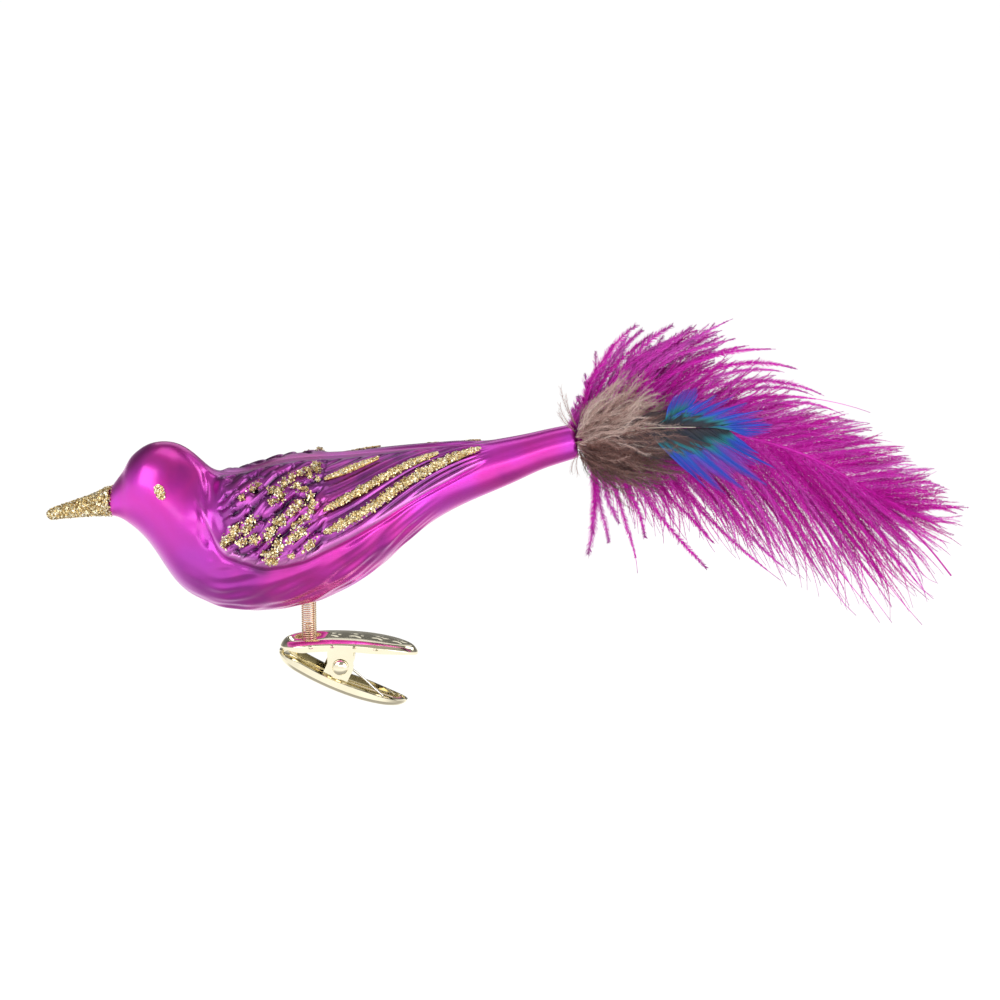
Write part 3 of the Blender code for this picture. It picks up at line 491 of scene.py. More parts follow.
def relief(x, t):
    """Height of the modelling over the wing pad and flanks, in mm, the painted shade for its hollows, the wing's paint
    mask and the painted highlight along the wing's lower edge.
    """
    tau = folded(t)
    b = 14.0 * np.radians(tau)
    pad = wing_pad(x, t, 0.45)
    h = 0.05 * pad
    # raised bead along the wing's lower edge; its brightness is a painted highlight, given further down
    span = smoothstep(-17.0, -11.0, x) * (1 - smoothstep(34.0, 40.0, x))
    h = h + 0.26 * span * np.exp(-((tau - EDGE(x) + 3.0) / 4.5) ** 2)
    h = h - 0.30 * span * np.exp(-((tau - EDGE(x) - 4.0) / 2.6) ** 2)
    # flight feathers
    root = feather_root(x, tau)
    rear = smoothstep(7.6, 10.5, x) * (1 - smoothstep(35.0, 41.0, x)) * smoothstep(18.0, 26.0, root)
    rear = rear * (1 - smoothstep(EDGE(x) - 9, EDGE(x) - 3, tau))
    g = np.abs(np.sin(math.pi * (root - 31.0) / 7.2))
    h = h + rear * (0.40 * g ** 0.7 - 0.30)
    # painted shade: the flight feathers' grooves are darkened in colour
    hollow_shade = rear * (1 - smoothstep(0.0, 0.42, g)) * 0.75
    # painted shade: a dark band just under the wing's lower edge, with soft blotches into the belly
    under = np.exp(-((x + 1.0) / 8.0) ** 2) * (0.6 + 0.4 * waves(x, b, 61, 7.0))
    hollow_shade = np.maximum(hollow_shade, 0.75 * np.clip(under, 0, 1) * np.exp(-((tau - EDGE(x) - 5.0) / 3.6) ** 2))
    # shoulder scales
    wob = waves(x, b, 7, 9.0)
    scale = smoothstep(-10.8 + 1.5 * wob, -8.6 + 1.5 * wob, x) * (1 - smoothstep(7.2, 9.6, x + 0.6 * wob))
    scale = scale * smoothstep(10.0, 22.0, tau) * (1 - smoothstep(EDGE(x) - 7, EDGE(x) + 1, tau))
    lob = lobes(x, tau)
    h = h + scale * (0.78 * lob - 0.05)
    # painted shade: the gaps between the shoulder scales are darkened in colour
    hollow_shade = np.maximum(hollow_shade, scale * (1 - smoothstep(-0.5, 0.12, lob)))
    # folds between neck and shoulder
    fold = smoothstep(-16.5, -13.5, x) * (1 - smoothstep(-9.0, -6.5, x)) * smoothstep(12, 26, tau) * (1 - smoothstep(84, 96, tau))
    h = h + fold * 0.50 * waves(x * 1.1 + 0.6 * b, b * 0.7 - 0.5 * x, 13, 6.0)
    # neck crease with a soft roll ahead of it
    c = x + 14.4 - 1.6 * np.sin(np.radians(tau) * 1.6)
    neck = smoothstep(14, 30, tau) * (1 - smoothstep(86, 112, tau))
    h = h - 0.34 * neck * np.exp(-(c / 1.25) ** 2)
    h = h + 0.22 * neck * np.exp(-((c + 2.8) / 1.9) ** 2)
    # soft ripples in the breast, belly and cheek
    low = smoothstep(EDGE(x) + 1, EDGE(x) + 14, tau) * smoothstep(-20, -10, x) * (1 - smoothstep(20, 34, x))
    h = h + 0.19 * low * waves(x + 0.5 * b, b * 1.7, 23, 6.5)
    h = h + 0.05 * waves(x, b, 29, 15.0) * smoothstep(-31, -26, x) * (1 - smoothstep(38, 50, x))
    # painted highlight: a pale band along the wing's lower edge, which also thins the wing's violet there
    painted_edge_highlight = span * np.exp(-((tau - EDGE(x) + 2.6) / 3.2) ** 2) * (0.75 + 0.25 * waves(x, b, 67, 8.0))
    return h, np.clip(hollow_shade, 0, 1), wing_pad(x, t, 0.5) * (1 - 0.9 * np.clip(painted_edge_highlight, 0, 1)), np.clip(painted_edge_highlight, 0, 1)


def skin(x, t, off=0.0, detail=False):
    x, t = np.broadcast_arrays(np.asarray(x, float), np.asarray(t, float))
    n = skin_normal(x, t)
    h = WING_PROUD * wing_pad(x, t) + off
    if detail:
        xx, tt = np.atleast_2d(x), np.atleast_2d(t)
        h = h + relief(xx, tt)[0].reshape(np.shape(x))
    return smooth_skin(x, t) + n * np.asarray(h)[..., None]


# ==== glass body ===============================================================================
HOLE_R, LEG_X = 1.9, 5.0
COLS = 300
xs = np.concatenate([np.linspace(-44.7, -34.6, 20, endpoint=False), np.linspace(-34.6, -28.0, 26, endpoint=False),
                     np.linspace(-28.0, -17.0, 30, endpoint=False), np.linspace(-17.0, 12.0, 100, endpoint=False),
                     np.linspace(12.0, 41.0, 76, endpoint=False), np.linspace(41.0, 57.2, 24)])
ts = np.arange(COLS) * 2 * math.pi / COLS
gx, gt = np.meshgrid(xs, ts, indexing="ij")
rel, hollow_shade, wing, painted_rim_highlight = relief(gx, gt)
outer = smooth_skin(gx, gt) + skin_normal(gx, gt) * (WING_PROUD * wing_pad(gx, gt, 0.8) + rel)[..., None]
# the mouth of the tail tube is softly turned over
inner_xs = np.concatenate([[57.25, 57.1], np.linspace(56.6, 33, 14), np.linspace(31, -30.5, 24)])
ix, it = np.meshgrid(inner_xs, ts, indexing="ij")
depth = np.full(inner_xs.shape, -WALL)
depth[0], depth[1] = -0.28, -0.62
inner = smooth_skin(np.minimum(ix, 57.2), it) + skin_normal(np.minimum(ix, 57.2), it) * depth[:, None, None]
inner[:, :, 0] += (np.maximum(ix, 57.2) - 57.2) + np.where(ix > 57.2, 0.1, 0.0)
rows_o, rows_i = len(xs), len(inner_xs)
verts = np.vstack([outer.reshape(-1, 3), inner.reshape(-1, 3), [[-45.1, 0.0, 27.15]], [[-31.4, 0.0, 30.6]]])
quads = grid_faces(rows_o + rows_i, COLS)
n_all = (rows_o + rows_i) * COLS
jj = np.arange(COLS)
kk = (jj + 1) % COLS
tri0 = np.stack([kk, jj, np.full(COLS, n_all)], -1)
base = n_all - COLS
tri1 = np.stack([base + jj, base + kk, np.full(COLS, n_all + 1)], -1)
# hole in the belly: drop the faces inside it, and draw the edge of what is left onto a circle
dist = np.hypot(verts[:, 0] - LEG_X, verts[:, 1])
under = verts[:, 2] < 16.0
inside = (dist < HOLE_R) & under
quads = quads[~inside[quads].any(1)]
me = build_mesh("glass_shell", verts, [quads, tri0, tri1])
# painted shade of the hollows, stored per point for the lacquer's colour
hollow_shade_values = np.concatenate([hollow_shade.ravel(), np.zeros(rows_i * COLS + 2)])
wng = np.concatenate([wing.ravel(), np.zeros(rows_i * COLS + 2)])
float_attribute(me, "hollow_shade", hollow_shade_values)
float_attribute(me, "wing", wng)
# the painted highlight along the wing's lower edge, stored as the rim attribute
float_attribute(me, "rim", np.concatenate([painted_rim_highlight.ravel(), np.zeros(rows_i * COLS + 2)]))
bm = bmesh.new()
bm.from_mesh(me)
loose = [v for v in bm.verts if not v.link_faces]
bmesh.ops.delete(bm, geom=loose, context="VERTS")
edges = [e for e in bm.edges if e.is_boundary]
for e in edges:
    for v in e.verts:
        d = Vector((v.co.x - LEG_X * MM, v.co.y))
        if d.length > 1e-6:
            d = d.normalized() * HOLE_R * MM
            v.co.x, v.co.y = LEG_X * MM + d.x, d.y
bmesh.ops.bridge_loops(bm, edges=edges)
bmesh.ops.recalc_face_normals(bm, faces=bm.faces[:])
bm.to_mesh(me)
bm.free()
me.shade_smooth()

mat, nt, bsdf = new_material("magenta_lacquer", Metallic=1.0, Coat_Weight=0.55, Coat_Roughness=0.17, Coat_IOR=1.65)
fine_n = noise(nt, 60, 4)
body_c = ramp(nt, fine_n.outputs["Fac"], [(0.30, (0.39, 0.012, 0.35)), (0.44, (0.73, 0.028, 0.46)), (0.64, (0.71, 0.042, 0.65))])
wing_n = noise(nt, 210, 4)
wing_c = ramp(nt, wing_n.outputs["Fac"], [(0.3, (0.13, 0.022, 0.17)), (0.52, (0.33, 0.042, 0.33)), (0.72, (0.54, 0.055, 0.38))])
# painted reflection: the lacquer is darkened towards violet round a point on the breast's -Y side, a painted dark
# reflection
breast_dark_reflection = nd(nt, "ShaderNodeVectorMath", operation="DISTANCE")
nt.links.new(coords(nt), breast_dark_reflection.inputs[0])
breast_dark_reflection.inputs[1].default_value = (-0.016, -0.010, 0.017)
body_c = mix_colour(nt, remap(nt, breast_dark_reflection.outputs["Value"], 0.70, 0.0, 0.004, 0.019), body_c, (0.40, 0.028, 0.47))
c = mix_colour(nt, remap(nt, attr(nt, "wing"), 0.0, 0.90), body_c, wing_c)
# painted highlight: pale pink along the wing's lower edge
c = mix_colour(nt, remap(nt, attr(nt, "rim"), 0.0, 0.75), c, (1.0, 0.38, 0.92))
# painted shade: the hollows are darkened to near black in the lacquer colour
c = mix_colour(nt, remap(nt, attr(nt, "hollow_shade"), 0.0, 0.96), c, (0.018, 0.002, 0.028))
nt.links.new(c, bsdf.inputs["Base Color"])
# the painted highlight also turns Metallic down along the wing's lower edge, so its pale pink shows
nt.links.new(remap(nt, attr(nt, "rim"), 1.0, 0.72), bsdf.inputs["Metallic"])
nt.links.new(remap(nt, noise(nt, 140, 3).outputs["Fac"], 0.28, 0.38), bsdf.inputs["Roughness"])
bump(nt, bsdf, noise(nt, 1500, 2).outputs["Fac"], 0.05, 0.0001)
add_piece("glass_shell", me, mat, "bird", ["glass_body"])

# ==== glitter ==================================================================================
glit, nt, bsdf = new_material("gold_glitter_flakes", Metallic=0.85, Roughness=0.24)
tone = attr(nt, "tone")
col = ramp(nt, tone, [(0.0, (0.20, 0.11, 0.03)), (0.25, (0.52, 0.35, 0.12)), (0.5, (0.88, 0.69, 0.34)),
                      (0.8, (1.0, 0.93, 0.66)), (1.0, (1.0, 1.0, 0.92))])
nt.links.new(col, bsdf.inputs["Base Color"])
nt.links.new(remap(nt, attr(nt, "along"), 0.16, 0.36), bsdf.inputs["Roughness"])

bed, nt, bsdf = new_material("glitter_bed", Metallic=0.6, Roughness=0.5)
v = nd(nt, "ShaderNodeTexVoronoi")
v.inputs["Scale"].default_value = 3200
nt.links.new(coords(nt), v.inputs["Vector"])
sep = nd(nt, "ShaderNodeSeparateColor")
nt.links.new(v.outputs["Color"], sep.inputs[0])
nt.links.new(ramp(nt, sep.outputs[0], [(0.0, (0.16, 0.09, 0.03)), (0.5, (0.55, 0.38, 0.15)), (1.0, (0.95, 0.82, 0.50))]),
             bsdf.inputs["Base Color"])
bump(nt, bsdf, v.outputs["Distance"], 0.6, 0.00015)


def flakes(centres, normals, seed, size=0.30, wild=0.75, lift=0.0):
    """Six-sided glitter plates at the centres, leaning at random away from the normals."""
    r = np.random.default_rng(seed)
    m = len(centres)
    nrm = normals + wild * r.normal(size=(m, 3)) * 0.6
    nrm /= np.linalg.norm(nrm, axis=1, keepdims=True)
    ref = r.normal(size=(m, 3))
    u = np.cross(nrm, ref)
    u /= np.linalg.norm(u, axis=1, keepdims=True)
    w = np.cross(nrm, u)
    rad = size * r.uniform(0.38, 0.62, m)
    ang = np.arange(6) * math.pi / 3
    ring = u[:, None] * np.cos(ang)[None, :, None] + w[:, None] * np.sin(ang)[None, :, None]
    c = centres + normals * (lift + 0.1 * r.uniform(0, 1, m))[:, None]
    top = c[:, None] + ring * rad[:, None, None] + nrm[:, None] * 0.02
    bot = c[:, None] + ring * rad[:, None, None] - nrm[:, None] * 0.02
    verts = np.concatenate([top, bot], 1).reshape(-1, 3)
    one_q = np.array([[j, (j + 1) % 6, 6 + (j + 1) % 6, 6 + j] for j in range(6)])[:, ::-1]
    hexes = np.array([[0, 1, 2, 3], [0, 3, 4, 5]])
    one = np.vstack([one_q, hexes, hexes[:, ::-1] + 6])
    faces = (one[None] + 12 * np.arange(m)[:, None, None]).reshape(-1, 4)
    tone = np.repeat(r.beta(1.3, 1.2, m), 12)
    rough = np.repeat(r.uniform(0, 1, m), 12)
    return verts, faces, rough, tone


def flake_piece(name, centres, normals, seed, nodes, **kw):
    verts, faces, rough, tone = flakes(centres, normals, seed, **kw)
    soup = Soup()
    soup.add(verts, quads=faces, a=rough, b=tone)
    return add_piece(name, soup.mesh(name, smooth=False), glit, "bird", nodes)


def on_skin(x, tau, side, height):
    t = np.radians(tau) * side
    return skin(x, t, height, detail=False), skin_normal(x, t)


r0 = np.random.default_rng(5)
# beak: a crust of flakes on the CAD crust
BEAK_R = monotone([-45.9, -45.6, -45.1, -43.3, -40.2, -37.0, -35.2, -33.75, -33.0],
                  [0.05, 0.5, 0.88, 1.17, 1.58, 2.02, 2.42, 2.75, 2.85])


def beak_flakes():
    m = 4600
    x = -45.85 + (45.85 - 33.0) * r0.uniform(0, 1, m) ** 0.85
    x = np.where(x > -33.6, x - r0.uniform(0, 1.4, m) * (r0.uniform(0, 1, m) < 0.7), x)
    a = r0.uniform(0, 2 * math.pi, m)
    rr = BEAK_R(x) + r0.uniform(-0.12, 0.14, m)
    zc = (TOP(x) + BOTTOM(x)) / 2
    nrm = np.stack([-0.25 + 0 * a, np.sin(a), np.cos(a)], -1)
    nrm /= np.linalg.norm(nrm, axis=1, keepdims=True)
    c = np.stack([x, rr * np.sin(a), zc + rr * np.cos(a)], -1)
    flake_piece("beak_glitter_flakes", c, nrm, 11, (), size=0.36)


beak_flakes()
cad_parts["beak_glitter_coat"].data.materials.clear()
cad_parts["beak_glitter_coat"].data.materials.append(bed)

STRIPES = [
    ("upper", (8.9, 39.5), (14.0, 32.0), (19.3, 23.5), 0.85),
    ("middle", (8.9, 65.0), (20.0, 49.5), (30.7, 33.0), 0.95),
    ("lower", (9.0, 81.5), (23.3, 64.5), (38.9, 34.0), 1.05),
]


def stripe_line(a, b, c, s):
    return [(1 - s) ** 2 * a[i] + 2 * s * (1 - s) * (2 * b[i] - 0.5 * (a[i] + c[i])) + s ** 2 * c[i] for i in (0, 1)]


def stripe_flakes(label, a, b, c, half_w, side, word, seed):
    s = np.linspace(0, 1, 200)
    x, tau = stripe_line(a, b, c, s)
    mid, nrm = on_skin(x, tau, side, 0.0)
    along = np.gradient(mid, axis=0)
    length = np.linalg.norm(along, axis=1).sum()
    along /= np.linalg.norm(along, axis=1, keepdims=True)
    across = np.cross(nrm, along)
    r = np.random.default_rng(seed)
    m = int(length * (half_w - 0.22) * 2 * 52)
    pos = r.uniform(0.0, 199.0, m)
    k = pos.astype(int)
    sv = pos / 199
    wav = 1 + 0.16 * np.sin(sv * length * 1.7 + seed) + 0.12 * np.sin(sv * length * 3.9 + 2 * seed)
    taper = np.clip(np.minimum(sv * length / 3.5, (1 - sv) * length / 5.0), 0, 1) ** 0.7
    w = (half_w - 0.28) * wav * (0.22 + 0.78 * taper)
    q = np.clip(r.normal(0, 0.55, m), -1.25, 1.25)
    dome = np.sqrt(np.clip(1 - (q / 1.3) ** 2, 0, 1))
    c3 = mid[k] + across[k] * (q * w)[:, None] + nrm[k] * (0.40 + 0.52 * dome * (0.4 + 0.6 * taper) - 0.08)[:, None]
    n3 = nrm[k] + across[k] * (0.8 * q)[:, None]
    n3 /= np.linalg.norm(n3, axis=1, keepdims=True)
    verts, faces, rough, tone = flakes(c3, n3, seed, size=0.34)
    soup = Soup()
    soup.add(verts, quads=faces, a=rough, b=tone)
    # the line of glue that holds the flakes
    st_ = np.linspace(2, 197, 70).astype(int)
    tp = np.clip(np.minimum(s[st_] * length / 3.5, (1 - s[st_]) * length / 5.0), 0.05, 1) ** 0.7
    bw = (half_w - 0.30) * (0.2 + 0.8 * tp)
    prof = [(-1.0, 0.10), (-0.8, 0.36), (-0.4, 0.60), (0.0, 0.70), (0.4, 0.60), (0.8, 0.36), (1.0, 0.10), (0.0, 0.06)]
    bv = np.stack([mid[st_] + across[st_] * (f * bw)[:, None] + nrm[st_] * (g * (0.4 + 0.6 * tp))[:, None] for f, g in prof], 1)
    bv = bv.reshape(-1, 3)
    k8 = np.arange(8)
    end0 = np.array([[0, j, j + 1] for j in range(1, 7)])
    end1 = end0[:, ::-1] + (len(st_) - 1) * 8
    soup.add(bv, grid_faces(len(st_), 8), np.vstack([end0, end1]), a=0.8, b=0.22)
    add_piece(f"wing_stripe_{label}_flakes_{word}", soup.mesh(f"wing_stripe_{label}_flakes_{word}", smooth=False), glit, "bird",
              [f"wing_stripe_{label}_{word}"])


# glitter dabbed on the shoulder scales: blobs as (x, angle, radius)
BLOBS = {
    "front": [(-4.8, 61, 1.0), (-5.0, 66, 1.1), (-5.8, 69, 0.7), (-7.7, 66, 1.2), (-7.9, 70, 1.0), (-8.6, 74, 0.8),
              (-9.6, 77, 0.9), (-10.0, 80, 0.8), (-5.9, 78, 0.8), (-6.9, 79, 0.6), (-4.0, 78, 0.9), (-4.4, 75, 0.5)],
    "top": [(-4.6, 33, 0.9), (-3.6, 30, 0.6), (-6.5, 40, 0.6), (-1.0, 38, 0.8), (0.3, 40, 1.2), (0.8, 45, 1.1),
            (-0.6, 49, 0.9), (1.6, 34, 1.0), (2.8, 30, 0.9), (4.2, 27, 0.9), (5.6, 23.5, 0.9), (7.2, 19, 1.1),
            (7.6, 24, 0.9), (6.0, 30, 0.7), (3.6, 38, 0.7), (4.6, 41, 0.6), (7.6, 33, 0.7)],
    "middle": [(0.9, 64, 0.9), (0.0, 66, 0.7), (1.2, 68, 0.6), (-0.9, 72, 1.1), (-1.2, 76, 0.9), (0.2, 82, 1.0),
               (0.9, 86, 0.9), (-0.4, 90, 1.1), (-1.4, 91, 0.7), (-2.2, 89, 0.5), (-1.3, 96, 1.0), (-0.4, 97, 0.8)],
    "rear": [(3.5, 57, 1.0), (4.4, 54, 0.8), (2.4, 60, 0.7), (6.4, 48, 0.8), (6.7, 56, 0.8), (6.5, 61, 0.7),
             (5.8, 66, 0.8), (4.6, 68, 0.7), (3.4, 70, 0.7), (5.6, 43, 0.5)],
    "low": [(3.2, 80, 0.8), (4.0, 78, 0.8), (4.9, 76, 0.8), (2.4, 83, 0.5), (6.5, 86, 0.8), (6.0, 89, 0.8), (2.8, 94, 0.6),
            (5.0, 92, 0.4)],
}


def blob_flakes(label, side, word, seed):
    r = np.random.default_rng(seed)
    cs, ns = [], []
    for x, tau, rad in BLOBS[label]:
        tau = tau + 7.5 * math.cos(math.radians(tau))
        m = int(105 * rad ** 1.6)
        ang, rr = r.uniform(0, 2 * math.pi, m), rad * np.abs(r.normal(0, 0.52, m))
        px = x + rr * np.cos(ang) + 0.2 * r.normal(size=m)
        pt = tau + np.degrees(rr * np.sin(ang) / 14.5) + 0.5 * r.normal(size=m)
        t = np.radians(pt) * side
        h = relief(px[:, None], t[:, None])[0][:, 0]
        hill = 0.75 * np.clip(1 - (rr / (1.3 * rad)) ** 2, 0, 1)
        base_h = np.maximum(h, 0.1)
        off = base_h + 0.10 + hill * r.uniform(0.0, 0.95, m)
        cs.append(skin(px, t, off))
        ns.append(skin_normal(px, t))
    flake_piece(f"glitter_dab_{label}_flakes_{word}", np.vstack(cs), np.vstack(ns), seed + 1,
                [f"glitter_dab_{label}_{word}"], size=0.34)


def eye_flakes(side, word, seed):
    r = np.random.default_rng(seed)
    m = 260
    ang, rr = r.uniform(0, 2 * math.pi, m), 1.02 * np.sqrt(r.uniform(0, 1, m))
    px = -22.9 + rr * np.cos(ang)
    pt = 71 + np.degrees(rr * np.sin(ang) / 9.5)
    t = np.radians(pt) * side
    off = 0.34 + 0.42 * np.sqrt(np.clip(1 - (rr / 1.15) ** 2, 0, 1)) - 0.1
    flake_piece(f"eye_flakes_{word}", skin(px, t, off), skin_normal(px, t), seed, [f"eye_glitter_{word}"], size=0.32)


for side, word, sd in ((-1, "right", 100), (1, "left", 200)):
    for i, (label, a, b, c_, hw) in enumerate(STRIPES):
        stripe_flakes(label, a, b, c_, hw, side, word, sd + i)
    for i, label in enumerate(BLOBS):
        blob_flakes(label, side, word, sd + 10 + 2 * i)
    eye_flakes(side, word, sd + 30)

# ==== spring leg ===============================================================================
LEG_OD, WIRE, PITCH = 3.0, 0.28, 0.44
FOOT_Z, TOP_Z, SPLIT_Z = 1.65, 13.6, 6.0


def metal(name, base, rough=(0.1, 0.2), scale=300, tint=0.06, bump_strength=0.03):
    m, nt, b = new_material(name, Metallic=1.0)
    n1 = noise(nt, scale, 4, 0.6)
    lo = tuple(v * (1 - tint) for v in base)
    hi = tuple(min(1.0, v * (1 + tint)) for v in base)
    nt.links.new(ramp(nt, n1.outputs["Fac"], [(0.3, lo), (0.7, hi)]), b.inputs["Base Color"])
    nt.links.new(remap(nt, noise(nt, scale * 3, 3).outputs["Fac"], rough[0], rough[1], 0.3, 0.7), b.inputs["Roughness"])
    bump(nt, b, noise(nt, scale * 0.6, 2).outputs["Fac"], bump_strength, 0.0002)
    return m


copper = metal("coppered_wire", (0.86, 0.68, 0.44), (0.12, 0.20), 700)
gold = metal("pale_gold_tin", (0.92, 0.85, 0.64), (0.05, 0.11), 160, 0.05, 0.10)
steel = metal("bright_steel", (0.80, 0.78, 0.74), (0.15, 0.25), 500)
PER = 26


def leg_piece(name, z0, z1, nodes):
    rad = LEG_OD / 2 - WIRE / 2
    i0 = (z0 - FOOT_Z) / PITCH * PER
    i1 = (z1 - FOOT_Z) / PITCH * PER
    i = np.linspace(i0, i1, int(round(i1 - i0)) + 1)
    ang = 2 * math.pi * i / PER
    z = FOOT_Z + WIRE / 2 + PITCH * i / PER
    path = np.stack([LEG_X + rad * np.cos(ang), rad * np.sin(ang), z], -1)
    t = np.gradient(path, axis=0)
    t /= np.linalg.norm(t, axis=1, keepdims=True)
    out = np.stack([np.cos(ang), np.sin(ang), 0 * ang], -1)
    up = np.cross(out, t)
    sides = 8
    th = np.arange(sides) * 2 * math.pi / sides
    ring = path[:, None] + WIRE / 2 * (out[:, None] * np.cos(th)[None, :, None] + up[:, None] * np.sin(th)[None, :, None])
    n = len(path)
    verts = np.vstack([ring.reshape(-1, 3), path[:1], path[-1:]])
    j = np.arange(sides)
    k = (j + 1) % sides
    caps = np.vstack([np.stack([k, j, np.full(sides, n * sides)], -1),
                      np.stack([(n - 1) * sides + j, (n - 1) * sides + k, np.full(sides, n * sides + 1)], -1)])
    me = build_mesh(name, verts, [grid_faces(n, sides), caps])
    bm = bmesh.new()
    bm.from_mesh(me)
    bmesh.ops.recalc_face_normals(bm, faces=bm.faces[:])
    bm.to_mesh(me)
    bm.free()
    me.shade_smooth()
    ob = add_piece(name, me, copper, None, nodes)
    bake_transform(ob)


leg_piece("leg_coils_lower", FOOT_Z, SPLIT_Z, ["leg_spring"])
leg_piece("leg_coils_upper", SPLIT_Z, TOP_Z - WIRE, ["leg_spring"])

# ==== clip =====================================================================================
JAW_L, NOSE_X, JAW_HALF, TIN = 27.1, -0.7, 4.7, 0.45
CREST_Z, CREST_X, CREST_BOW = 2.95, 10.6, 0.0088
PIVOT = (11.3, -2.45)
PIN_R, EAR_R, LOWER_TILT = 0.85, 2.55, -25.5
DISH = (5.7, 1.0)
GAP = 0.3


def plan_half(x):
    nose = math.sqrt(max(0.0, 1 - (max(0.0, 4.6 - x) / 4.6) ** 2))
    tail = math.sqrt(max(0.0, 1 - (max(0.0, x - 16.0) / (JAW_L - 16.0)) ** 2.3))
    return JAW_HALF * min(nose, 1.0) * min(tail, 1.0)


def crest(x):
    return CREST_Z - CREST_BOW * (x - CREST_X) ** 2


def wall_height(x):
    return 1.0 + 0.95 * float(smoothstep(0.0, 5.0, x)) - 0.75 * float(smoothstep(17.0, JAW_L, x))


def star_line(px, py, cx, r_out, width=0.20):
    """1 on the outline of a plain five-pointed star lying on the jaw's back."""
    u, v = px - cx, py
    ang = (math.atan2(v, u) + 2 * math.pi) % (2 * math.pi)
    k = 2 * math.pi / 5
    a = abs((ang + k / 2) % k - k / 2)
    r = math.hypot(u, v)
    r_in = 0.5 * r_out
    # edge between the point (r_out at angle 0) and the notch (r_in at angle k/2)
    x1, y1, x2, y2 = r_out, 0.0, r_in * math.cos(k / 2), r_in * math.sin(k / 2)
    qx, qy = r * math.cos(a), r * math.sin(a)
    nx, ny = y2 - y1, -(x2 - x1)
    ln = math.hypot(nx, ny)
    d = ((qx - x1) * nx + (qy - y1) * ny) / ln
    return math.exp(-(d / width) ** 2)


